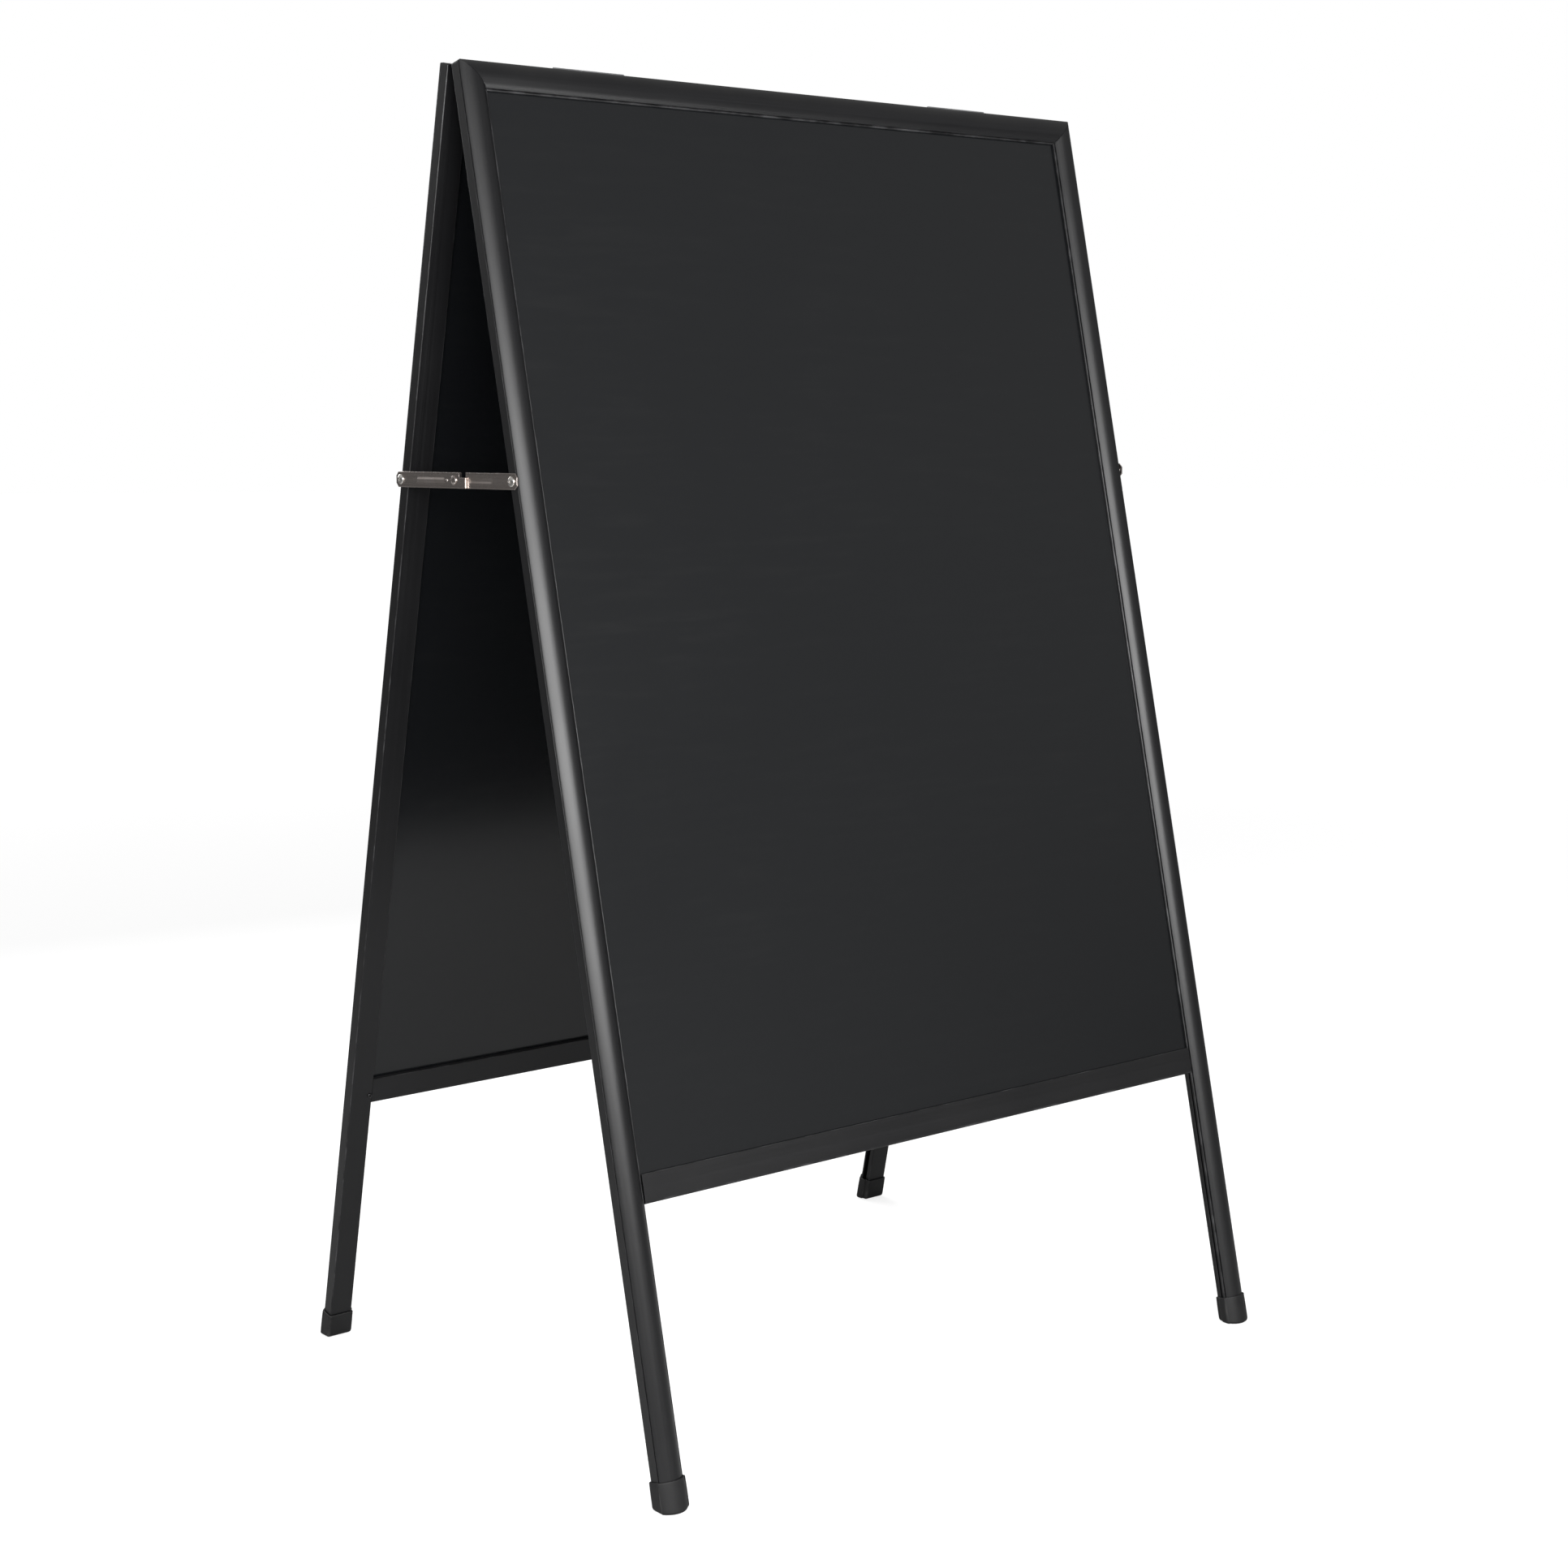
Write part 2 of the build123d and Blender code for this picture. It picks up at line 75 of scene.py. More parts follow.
# %% [markdown]
# Each leaf leans back, so its pieces are easiest to draw flat, in the leaf's
# own axes. These could be typed in as angles, but then a change to the model
# would leave the looks behind. The board is a flat plate, so the direction
# in which its points spread least is the way that the leaf faces. The stile
# gives the top edge and the back, and those fix the leaf's origin.

# %% The leaves' own axes
def node_points(node):
    """Corners of a CAD node in millimetres, one row each."""
    vertices = frame["nodes"][node].data.vertices
    points = np.zeros(3 * len(vertices), np.float32)
    vertices.foreach_get("co", points)
    return points.reshape(-1, 3).astype(float) / MM


def leaf_axes(end):
    """Origin, across, up and out of a leaf.

    Out is the direction of least spread of the board's points, turned to
    face away from the other leaf. Up is out crossed with across. The origin
    is where the leaf's top edge meets its back, in the middle.
    """
    facing = -1 if end == "front" else 1
    board = node_points(f"{end}_board")
    out = np.linalg.svd(board - board.mean(0), full_matrices=False)[2][2]
    out = out * np.sign(out[1]) * facing
    across = np.array([-facing, 0.0, 0.0])
    up = np.cross(out, across)
    stile = node_points(f"{end}_left_stile")
    origin = up * (stile @ up).max() + out * (stile @ out).min()
    return {"origin": origin, "across": across, "up": up, "out": out}


leaves = {end: leaf_axes(end) for end in ("front", "rear")}
tilt = atan2(leaves["front"]["up"][1], leaves["front"]["up"][2])
top_height = leaves["front"]["origin"][2]
half_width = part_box("front_right_stile")[1].x / MM
print(f"tilt {tilt * 180 / pi:.2f} degrees, top {top_height:.1f} mm, half width {half_width:.1f} mm")


def on_leaf(leaf, x, v, w):
    """Points of a leaf: x across it, v down from its top edge, w out from its back."""
    x, v, w = (part[..., None] for part in np.broadcast_arrays(x, v, w))
    return leaf["origin"] + x * leaf["across"] - v * leaf["up"] + w * leaf["out"]


def local_sign(end, side):
    """-1 or 1: where a world side lies along the leaf's across axis."""
    return (1 if side == "right" else -1) * int(leaves[end]["across"][0])


# %% [markdown]
# Nearly everything here is a profile carried along a path: an aluminium
# extrusion is made that way in the real world too. A profile drawn with
# sharp corners looks false, because real edges catch a thin line of light.
# A Bevel modifier could break the edges, but on thin lips it clamps to
# nothing, so the corners are rounded in the profile itself. The same step
# marks the outer corners, where a finish wears first.

# %% Profiles with rounded corners
def arc(centre, radius, start, end, steps):
    """Points on a circle from one angle to another, in degrees, both ends kept."""
    angle = np.radians(np.linspace(start, end, steps))
    return np.array(centre) + radius * np.stack([np.cos(angle), np.sin(angle)], -1)


def soften(points, radii, steps=4):
    """Round the corners of a closed outline; return its points and an edge mask.

    Each corner becomes an arc that touches both sides: it starts radius over
    the tangent of half the corner's angle away from the corner, and its
    points are blended on the circle from one touching point to the other.
    The mask is a sine over each outer arc, so it is 0 on the flats, and 0 on
    corners that keep radius 0.
    """
    points = np.asarray(points, float)
    radii = np.broadcast_to(np.asarray(radii, float), len(points))[:, None]
    back = np.roll(points, 1, 0) - points
    ahead = np.roll(points, -1, 0) - points
    back /= np.linalg.norm(back, axis=1, keepdims=True)
    ahead /= np.linalg.norm(ahead, axis=1, keepdims=True)
    half = np.arccos(np.clip((back * ahead).sum(1, keepdims=True), -1, 1)) / 2
    half = np.clip(half, 0.02, pi / 2 - 0.0005)
    middle = back + ahead
    middle /= np.maximum(np.linalg.norm(middle, axis=1, keepdims=True), 1e-9)
    centre = points + middle * radii / np.sin(half)
    first = points + back * radii / np.tan(half) - centre
    last = points + ahead * radii / np.tan(half) - centre
    turn = pi - 2 * half
    share = np.linspace(0, 1, steps + 1)
    blend = np.sin((1 - share) * turn)[..., None] * first[:, None]
    blend = blend + np.sin(share * turn)[..., None] * last[:, None]
    curve = centre[:, None] + blend / np.sin(turn)[..., None]
    outer = back[:, 0] * ahead[:, 1] - back[:, 1] * ahead[:, 0] < 0
    mask = np.sin(pi * share) * (outer[:, None] & (radii > 0))
    curve, mask = curve.reshape(-1, 2), mask.reshape(-1)
    apart = np.linalg.norm(curve - np.roll(curve, 1, 0), axis=1) > 1e-4
    return curve[apart], mask[apart]


def outward(points):
    """Unit normals of a counter-clockwise outline, each halfway between its two sides'."""
    side = np.roll(points, -1, 0) - points
    side /= np.linalg.norm(side, axis=1, keepdims=True)
    normal = np.stack([side[:, 1], -side[:, 0]], -1)
    both = normal + np.roll(normal, 1, 0)
    return both / np.maximum((both * both).sum(1, keepdims=True) / 2, 0.5)


# %% [markdown]
# A surface is a grid: one direction runs round the profile, the other along
# the piece. The grid's own distances, in metres, become the UV map, so a
# brushed or drawn finish can follow the metal round a corner. Blender then
# gets the arrays in one go. Closed shells get their normals recalculated,
# and weighted normals keep the flats flat beside small round edges.

# %% From grids to pieces
def shell(points, edge=None, caps=True):
    """A closed skin over a grid of points (rows along, columns around).

    Every four neighbouring points make a face, and the last column joins the
    first. Caps close the first and the last row. Without caps, the last row
    joins the first. Returns corners, faces, UV in metres, and the edge mask.
    """
    rows, columns = points.shape[:2]
    spans = rows - 1 if caps else rows
    i, j = np.meshgrid(np.arange(spans), np.arange(columns), indexing="ij")
    after, beside = (i + 1) % rows, (j + 1) % columns
    quads = np.stack([i * columns + j, i * columns + beside,
                      after * columns + beside, after * columns + j], -1)
    around = np.linalg.norm(np.roll(points, -1, 1) - points, axis=2).max(0)
    along = np.linalg.norm(np.roll(points, -1, 0) - points, axis=2).max(1)
    around = np.append(0, np.cumsum(around))
    along = np.append(0, np.cumsum(along))
    u = np.stack([around[j], around[j + 1], around[j + 1], around[j]], -1)
    v = np.stack([along[i], along[i], along[i + 1], along[i + 1]], -1)
    faces = quads.reshape(-1, 4).tolist()
    uv = np.stack([u, v], -1).reshape(-1, 2)
    if caps:
        ring = np.arange(columns)
        faces += [ring[::-1].tolist(), ((rows - 1) * columns + ring).tolist()]
        cap = np.stack([around[:-1], np.zeros(columns)], -1)
        uv = np.concatenate([uv, cap, cap])
    mask = np.zeros(columns) if edge is None else edge
    return points.reshape(-1, 3), faces, uv * MM, np.broadcast_to(mask, (rows, columns)).ravel()


def put_in_scene(name, data):
    """A new object of a mesh, lamp or camera, in the scene's own collection."""
    made = bpy.data.objects.new(name, data)
    bpy.context.scene.collection.objects.link(made)
    return made


def add_piece(name, shells, material, body, slot, *nodes):
    """Make one object of closed shells in millimetres, and let it stand for CAD nodes."""
    corners, faces, uv, mask, count = [], [], [], [], 0
    for part_corners, part_faces, part_uv, part_mask in shells:
        faces += [[corner + count for corner in face] for face in part_faces]
        corners.append(part_corners)
        uv.append(part_uv)
        mask.append(part_mask)
        count += len(part_corners)
    mesh = bpy.data.meshes.new(name)
    mesh.from_pydata(np.concatenate(corners) * MM, [], faces)
    mesh.uv_layers.new(name="surface").data.foreach_set("uv", np.concatenate(uv).ravel())
    edge = mesh.attributes.new("edge", "FLOAT", "POINT")
    edge.data.foreach_set("value", np.concatenate(mask).astype(np.float32))
    work = bmesh.new()
    work.from_mesh(mesh)
    bmesh.ops.remove_doubles(work, verts=work.verts, dist=0.002 * MM)
    bmesh.ops.recalc_face_normals(work, faces=work.faces)
    work.to_mesh(mesh)
    work.free()
    mesh.shade_smooth()
    mesh.set_sharp_from_angle(angle=radians(40))
    mesh.materials.append(material)
    piece = put_in_scene(name, mesh)
    flats = piece.modifiers.new("flat faces stay flat", "WEIGHTED_NORMAL")
    flats.keep_sharp = True
    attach(piece, body)
    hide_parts(*nodes)


def dress(node, how, x, v, w, edge, material, slot):
    """Let a grid on a leaf stand for a CAD node, whose name begins with its leaf's end."""
    end = node.split("_")[0]
    points = on_leaf(leaves[end], x, v, w)
    add_piece(f"{node}_{how}", [shell(points, edge)], material, f"{end}_leaf", slot, node)


def lathe(profile, centre, axis, turns=48, depth=None):
    """A turned shape: profile points (radius, height) swept round an axis.

    A point is centre + height along the axis + radius times a unit vector
    that turns round it. depth(radius, angle) is cut out of the height, which
    is how a screw's recess is made.
    """
    radius, height = np.array(profile, float).T
    angle = np.linspace(0, 2 * pi, turns, endpoint=False)
    axis = np.array(axis, float)
    first = np.cross(axis, [0.0, 0.0, 1.0] if abs(axis[2]) < 0.9 else [0.0, 1.0, 0.0])
    first /= np.linalg.norm(first)
    second = np.cross(axis, first)
    ring = np.cos(angle)[:, None] * first + np.sin(angle)[:, None] * second
    height = np.broadcast_to(height[:, None], (len(radius), turns))
    if depth is not None:
        height = height - depth(radius[:, None], angle[None])
    points = np.array(centre) + height[..., None] * axis + radius[:, None, None] * ring
    return shell(points)


# %% [markdown]
# ## Finishes
#
# The frame is black anodised aluminium, the boards a smooth black laminate,
# the feet moulded rubber, and the stays nickel-plated steel strip. A flat
# colour would look like plastic toy parts. What tells these apart is how
# sharp their reflections are and what disturbs them: drawn lines along an
# extrusion, wiping marks on a board, grain in rubber. The shared effects
# are node groups that only put out masks and heights, and each material
# places them with its own values.

# %% Small helpers for node trees
def node(tree, kind, *links, **settings):
    """Add a node; links are values or sockets for its inputs in order, None to skip one."""
    made = tree.nodes.new(kind)
    for key, value in settings.items():
        setattr(made, key, value)
    sockets = [socket for socket in made.inputs if socket.enabled]
    for socket, value in zip(sockets, links):
        if isinstance(value, bpy.types.NodeSocket):
            tree.links.new(value, socket)
        elif value is not None:
            socket.default_value = value
    return made


def new_group(name, label, *outputs):
    """A shader node group with a vector, one named value, and masks or heights that come out."""
    group = bpy.data.node_groups.new(name, "ShaderNodeTree")
    group.interface.new_socket("Vector", in_out="INPUT", socket_type="NodeSocketVector")
    group.interface.new_socket(label, in_out="INPUT", socket_type="NodeSocketFloat")
    for output in outputs:
        group.interface.new_socket(output, in_out="OUTPUT", socket_type="NodeSocketFloat")
    source = group.nodes.new("NodeGroupInput")
    target = group.nodes.new("NodeGroupOutput")
    return group, source.outputs, target.inputs


def noise(tree, vector, scale, detail, roughness):
    """A noise texture's value at a vector."""
    made = node(tree, "ShaderNodeTexNoise", vector)
    made.inputs["Scale"].default_value = scale
    made.inputs["Detail"].default_value = detail
    made.inputs["Roughness"].default_value = roughness
    return made.outputs[0]


def spread(tree, value, low, high, to_low=0.0, to_high=1.0):
    """Map a value's range low to high onto another range, and stop at its ends."""
    return node(tree, "ShaderNodeMapRange", value, low, high, to_low, to_high).outputs[0]


def plus(tree, first, second):
    """The sum of two values or sockets."""
    return node(tree, "ShaderNodeMath", first, second, operation="ADD").outputs[0]


def times(tree, first, second):
    """The product of two values or sockets."""
    return node(tree, "ShaderNodeMath", first, second, operation="MULTIPLY").outputs[0]


# %% Drawn lines, blotches, worn edges and dust
across_metal, along_metal = 2600.0, 6.0
dust_colour = (0.16, 0.155, 0.145)


def make_drawn_lines():
    """Noise with its scale about 400 times finer across the metal than along it: die lines."""
    group, source, target = new_group("drawn_lines", "Lines", "Mask", "Height")
    stretched = node(group, "ShaderNodeVectorMath", source["Vector"],
                     (across_metal, along_metal, across_metal), operation="MULTIPLY").outputs[0]
    fine = noise(group, stretched, 1.0, 3.0, 0.6)
    coarse = noise(group, stretched, 0.18, 2.0, 0.5)
    both = times(group, fine, coarse)
    mask = times(group, spread(group, both, 0.14, 0.42), source["Lines"])
    group.links.new(mask, target["Mask"])
    group.links.new(times(group, fine, source["Lines"]), target["Height"])
    return group


def make_blotches():
    """Broad soft patches with finer ones inside them: handling and wiping marks."""
    group, source, target = new_group("blotches", "Size", "Mask")
    broad = node(group, "ShaderNodeTexNoise", source["Vector"])
    group.links.new(source["Size"], broad.inputs["Scale"])
    broad.inputs["Detail"].default_value = 4.0
    broad.inputs["Distortion"].default_value = 0.6
    group.links.new(spread(group, broad.outputs[0], 0.35, 0.68), target["Mask"])
    return group


def make_worn_edges():
    """The piece's own edge mask, broken up by noise so that wear comes and goes."""
    group, source, target = new_group("worn_edges", "Amount", "Mask")
    edge = node(group, "ShaderNodeAttribute", attribute_name="edge").outputs["Fac"]
    broken = spread(group, noise(group, source["Vector"], 55.0, 4.0, 0.65), 0.45, 0.75)
    worn = times(group, edge, broken)
    group.links.new(times(group, worn, source["Amount"]), target["Mask"])
    return group


def make_settled_dust():
    """Specks that lie on faces that look up: the normal's upward part times fine noise."""
    group, source, target = new_group("settled_dust", "Amount", "Mask")
    normal = node(group, "ShaderNodeNewGeometry").outputs["Normal"]
    upward = node(group, "ShaderNodeSeparateXYZ", normal).outputs[2]
    level = spread(group, upward, 0.1, 0.95, 0.08, 1.0)
    specks = spread(group, noise(group, source["Vector"], 900.0, 2.0, 0.7), 0.56, 0.78)
    film = spread(group, noise(group, source["Vector"], 14.0, 4.0, 0.6), 0.35, 0.7)
    mixed = plus(group, times(group, specks, 0.6), times(group, film, 0.4))
    dusted = times(group, level, mixed)
    group.links.new(times(group, dusted, source["Amount"]), target["Mask"])
    return group


drawn_lines = make_drawn_lines()
blotches = make_blotches()
worn_edges = make_worn_edges()
settled_dust = make_settled_dust()
print("effects", [group.name for group in bpy.data.node_groups])


# %% Starting a material
def start_material(name, **values):
    """A material with a Principled shader; values are set on the shader's own sockets."""
    material = bpy.data.materials.new(name)
    material.use_nodes = True
    tree = material.node_tree
    shader = tree.nodes["Principled BSDF"]
    for label, value in values.items():
        shader.inputs[label.replace("_", " ")].default_value = value
    return material, tree, shader


def place_group(tree, group, vector, value):
    """Put an effect in a material and set its one value."""
    made = node(tree, "ShaderNodeGroup", node_tree=group)
    tree.links.new(vector, made.inputs["Vector"])
    made.inputs[1].default_value = value
    return made.outputs


def surface_uv(tree):
    """The piece's own UV map: x round the profile, y along it, in metres."""
    return node(tree, "ShaderNodeUVMap", uv_map="surface").outputs[0]


def object_place(tree):
    """Object coordinates, which are metres in the model's own axes."""
    return node(tree, "ShaderNodeTexCoord").outputs["Object"]


def mix_colours(tree, mask, first, second):
    """A colour between two, or between a socket and a colour, by a mask."""
    made = node(tree, "ShaderNodeMix", data_type="RGBA")
    for index, value in ((0, mask), (6, first), (7, second)):
        if isinstance(value, bpy.types.NodeSocket):
            tree.links.new(value, made.inputs[index])
        else:
            made.inputs[index].default_value = (*value, 1.0)
    return made.outputs[2]


def plug_in(tree, shader, colour, roughness, height, strength, distance):
    """Give a shader its colour and roughness, and a height as bump, distance metres deep."""
    tree.links.new(colour, shader.inputs["Base Color"])
    tree.links.new(roughness, shader.inputs["Roughness"])
    bump = node(tree, "ShaderNodeBump")
    bump.inputs["Strength"].default_value = strength
    bump.inputs["Distance"].default_value = distance
    tree.links.new(height, bump.inputs["Height"])
    tree.links.new(bump.outputs[0], shader.inputs["Normal"])


# %% [markdown]
# Anodising keeps the metal's drawn surface under a hard dyed film: nearly
# black, with broad soft highlights that run the length of each member. It
# could be a metal shader with a dark colour. A dielectric is nearer, because
# the film's own shine is white, not tinted. The drawn lines spread that
# shine sideways, so the shader is anisotropic, with a tangent that runs
# round the profile. The lower rails are brushed, and a little duller.

# %% Black anodised aluminium
line_height = 0.00003


def make_anodised(name, dullness):
    """Black film: drawn lines and handling marks vary its roughness, edges wear grey, and on the bead
    that grey is partly a painted highlight.
    """
    material, tree, shader = start_material(name, IOR=1.45, Anisotropic=0.3)
    place, along = object_place(tree), surface_uv(tree)
    lines = place_group(tree, drawn_lines, along, 1.0)
    marks = place_group(tree, blotches, place, 9.0)["Mask"]
    wear = place_group(tree, worn_edges, place, 0.5)["Mask"]
    dust = place_group(tree, settled_dust, place, 0.10)["Mask"]
    film = mix_colours(tree, lines["Mask"], (0.0018, 0.0018, 0.0022), (0.0036, 0.0036, 0.0043))
    # worn edges turn grey; on the bead this grey is partly a painted highlight along its thin line
    worn = mix_colours(tree, wear, film, (0.11, 0.11, 0.115))
    polish = plus(tree, spread(tree, lines["Mask"], 0, 1, dullness, dullness + 0.06),
                  spread(tree, marks, 0, 1, 0.0, 0.05))
    plug_in(tree, shader, mix_colours(tree, dust, worn, dust_colour),
            plus(tree, polish, times(tree, dust, 0.5)), lines["Height"], 0.10, line_height)
    round_profile = node(tree, "ShaderNodeTangent", direction_type="UV_MAP", uv_map="surface")
    tree.links.new(round_profile.outputs[0], shader.inputs["Tangent"])
    return material


anodised = make_anodised("black_anodised_aluminium", 0.34)
brushed_anodised = make_anodised("black_anodised_brushed", 0.49)

# %% [markdown]
# The writing board is a hard smooth laminate. From the front it is an even
# near-black, but at a low angle it mirrors the floor, so the shine matters
# more than the colour. Only faint wiping marks and a slight waviness break
# the reflection up.

# %% Board laminate
def make_laminate():
    """Black laminate: wiping marks in the roughness, a trace of chalk, slow waviness."""
    material, tree, shader = start_material("black_board_laminate", IOR=1.5)
    place = object_place(tree)
    marks = place_group(tree, blotches, place, 5.0)["Mask"]
    wiped = node(tree, "ShaderNodeMapping", place, (0, 0, 0), (0, radians(24), 0), (14, 14, 150))
    strokes = spread(tree, noise(tree, wiped.outputs[0], 1.0, 4.0, 0.6), 0.5, 0.8)
    chalk = times(tree, strokes, marks)
    colour = mix_colours(tree, times(tree, chalk, 0.25),
                         (0.0032, 0.0036, 0.0042), (0.009, 0.009, 0.0088))
    polish = plus(tree, spread(tree, marks, 0, 1, 0.20, 0.235), spread(tree, chalk, 0, 1, 0.0, 0.05))
    peel = plus(tree, noise(tree, place, 420.0, 2.0, 0.5),
                times(tree, noise(tree, place, 9.0, 1.0, 0.4), 3.0))
    plug_in(tree, shader, colour, polish, peel, 0.05, 0.0001)
    return material


laminate = make_laminate()

# %% [markdown]
# Rubber scatters light from a fine moulded grain, and its corners polish or
# grey with use. It picks up dust more than the metal does.

# %% Moulded rubber
def make_rubber():
    """Matt rubber: cell-like grain as bump, scuffed corners, dust on top."""
    material, tree, shader = start_material("black_rubber", IOR=1.40)
    place = object_place(tree)
    wear = place_group(tree, worn_edges, place, 0.7)["Mask"]
    dust = place_group(tree, settled_dust, place, 0.25)["Mask"]
    marks = place_group(tree, blotches, place, 60.0)["Mask"]
    body = mix_colours(tree, marks, (0.0036, 0.0036, 0.0040), (0.0060, 0.0060, 0.0064))
    scuffed = mix_colours(tree, wear, body, (0.065, 0.064, 0.062))
    matt = plus(tree, spread(tree, marks, 0, 1, 0.50, 0.60), times(tree, dust, 0.4))
    plug_in(tree, shader, mix_colours(tree, dust, scuffed, dust_colour), matt,
            noise(tree, place, 1500.0, 2.0, 0.6), 0.25, 0.0001)
    return material


rubber = make_rubber()

# %% [markdown]
# The stays are strip steel under thin nickel, which keeps the strip's
# rolling lines and goes slightly brown. The end rivets are softer and
# brighter. Hinges and their screws are zinc plated, with the faint cloudy
# patches of the passivated coating, and the rails' screws are blackened to
# hide on the black frame. One function makes all the metals, because only
# their colours and polish differ.

# %% Metals
def make_metal(name, clean, aged, polish, lines, patch_size):
    """Bare, plated or blackened metal: patches of an aged tint and of dullness over rolling lines."""
    material, tree, shader = start_material(name, Metallic=1.0)
    place = object_place(tree)
    rolled = place_group(tree, drawn_lines, surface_uv(tree), lines)
    marks = place_group(tree, blotches, place, patch_size)["Mask"]
    dust = place_group(tree, settled_dust, place, 0.2)["Mask"]
    tinted = mix_colours(tree, marks, clean, aged)
    dusty = mix_colours(tree, dust, tinted, tuple(0.6 * part for part in aged))
    dull = plus(tree, spread(tree, marks, 0, 1, polish, polish + 0.09),
                times(tree, rolled["Mask"], 0.08))
    plug_in(tree, shader, dusty, dull, rolled["Height"], 0.12 * lines, line_height)
    return material


nickel = make_metal("nickel_plated_steel", (0.50, 0.45, 0.425), (0.37, 0.325, 0.30),
                    0.20, 1.0, 45.0)
rivet_metal = make_metal("bright_rivet", (0.78, 0.76, 0.73), (0.55, 0.52, 0.49), 0.16, 0.3, 160.0)
zinc = make_metal("zinc_plated_steel", (0.60, 0.60, 0.61), (0.44, 0.45, 0.47), 0.26, 0.3, 120.0)
mill = make_metal("mill_aluminium", (0.74, 0.74, 0.75), (0.55, 0.55, 0.56), 0.34, 1.0, 60.0)
blackened = make_metal("blackened_steel", (0.035, 0.035, 0.038), (0.06, 0.06, 0.06),
                       0.32, 0.2, 160.0)
print("materials", [material.name for material in bpy.data.materials])

# %% [markdown]
# ## The frame
#
# Stiles and top rails are cut from one extrusion: a flat outer side, a
# shadow line, a rounded front that rises to a crest, a thin bead that laps
# the board, and a channel behind the bead. The outline is a few straight
# runs and two arcs, so it is drawn that way rather than traced. The rounded
# front is two arcs that meet level at the crest.

# %% The trim's outline
trim_face = 19.6
side_depth = 9.9
crest = (10.5, 14.9)
shoulder = (trim_face, 10.2)
groove_width, groove_depth = 0.9, 0.8
bead_width, bead_depth = 1.6, 9.6
# wear level over the whole bead: partly real wear, partly a painted highlight along its thin line
bead_wear_and_highlight = 0.7
inner_face = trim_face + bead_width
channel_back, channel_front, channel_floor = 4.4, 7.6, 15.0


def crest_arc(side, steps):
    """Arc from the crest, where it is level, down to a side point, without the crest itself.

    Its radius is (run squared + drop squared) over twice the drop, and its
    centre is straight below the crest.
    """
    run, drop = side[0] - crest[0], crest[1] - side[1]
    radius = (run ** 2 + drop ** 2) / (2 * drop)
    angle = asin(run / radius) * np.linspace(0, 1, steps)[1:, None]
    return np.hstack([crest[0] + radius * np.sin(angle),
                      crest[1] - radius * (1 - np.cos(angle))])


def trim_outline():
    """Counter-clockwise outline (in from the side, out from the back) and its edge mask.

    The bead counts as an edge over its whole round: partly because it rubs first,
    and partly as a painted highlight that lightens its thin line.
    """
    front = np.vstack([crest_arc(shoulder, 15)[::-1], crest, crest_arc((0, side_depth), 16)])
    bead_centre = (trim_face + bead_width / 2, bead_depth - bead_width / 2)
    bead = arc(bead_centre, bead_width / 2, 0, 178, 9)
    groove_floor = side_depth - groove_width
    start = [(groove_depth, side_depth), (groove_depth, groove_floor), (0, groove_floor),
             (0, 0), (trim_face, 0), (trim_face, channel_back), (channel_floor, channel_back),
             (channel_floor, channel_front), (inner_face, channel_front)]
    points = np.vstack([start, bead, front])
    radii = np.zeros(len(points))
    radii[:9] = (0.12, 0.12, 0.18, 0.8, 0.8, 0.3, 0.2, 0.2, 0.2)
    radii[9 + len(bead)] = 0.35
    radii[-1] = 0.22
    points, mask = soften(points, radii)
    on_bead = np.abs(np.hypot(*(points - bead_centre).T) - bead_width / 2) < 0.02
    return points, np.maximum(mask, bead_wear_and_highlight * on_bead)


trim_points, trim_wear_and_highlight = trim_outline()
print("trim outline", len(trim_points), "points")

# %% [markdown]
# Every member is that outline carried along an edge of the frame. At a top
# corner the cut is a mitre, which in the grid is simple: a point that lies
# some distance in from the outer edge starts that same distance from the
# corner. A hairline gap and a small break of the cut edge let the joint
# read as two pieces. The outer corner is then rounded by pushing whatever
# lies outside a small quarter circle onto it.

# %% Carrying the outline along an edge
mitre_gap = 0.06
cut_break = 0.12
corner_radius = 2.0
corner_rows = np.array([0.0, 0.12, 0.4, 0.8, 1.2, 1.6, 2.0, 2.6, 12.0])


def round_corner(a, b):
    """Push points outside the quarter circle at a corner onto it; a and b are edge distances."""
    near = (a < corner_radius) & (b < corner_radius)
    from_centre = np.hypot(corner_radius - a, corner_radius - b)
    pull = np.where(near & (from_centre > corner_radius),
                    corner_radius / np.maximum(from_centre, 1e-9), 1.0)
    return corner_radius - (corner_radius - a) * pull, corner_radius - (corner_radius - b) * pull


def trim_run(length, both_mitred):
    """Grid of one member: in from the edge, along it from its first corner, and out.

    The first rows follow the mitre: along = in + gap + row. The last rows
    mirror them at a second mitre, or are square at a plain cut. The first
    and the last row are drawn in by the broken edge.
    """
    points = trim_points
    drawn_in = points - cut_break * outward(points)
    a = np.repeat(points[None, :, 0], 2 * len(corner_rows), 0)
    w = np.repeat(points[None, :, 1], 2 * len(corner_rows), 0)
    for row in (0, -1):
        a[row], w[row] = drawn_in.T
    first = a[:len(corner_rows)] + mitre_gap + corner_rows[:, None]
    if both_mitred:
        last = length - first[::-1]
    else:
        last = length - corner_rows[::-1, None] + 0 * first
    b = np.concatenate([first, last])
    a, b = round_corner(a, b)
    if both_mitred:
        a, rest = round_corner(a, length - b)
        b = length - rest
    return a, b, w


foot_sole = 3.5
leaf_length = top_height / cos(tilt)
stile_length = leaf_length - foot_sole / cos(tilt)

for end in leaves:
    a, b, w = trim_run(stile_length, both_mitred=False)
    for side in ("left", "right"):
        x = local_sign(end, side) * (half_width - a)
        dress(f"{end}_{side}_stile", "dressed", x, b, w, trim_wear_and_highlight, anodised, "frame")
    a, b, w = trim_run(2 * half_width, both_mitred=True)
    dress(f"{end}_top_rail", "dressed", b - half_width, a, w, trim_wear_and_highlight, anodised, "frame")
print("leaf length", round(leaf_length, 2), "stile length", round(stile_length, 2))

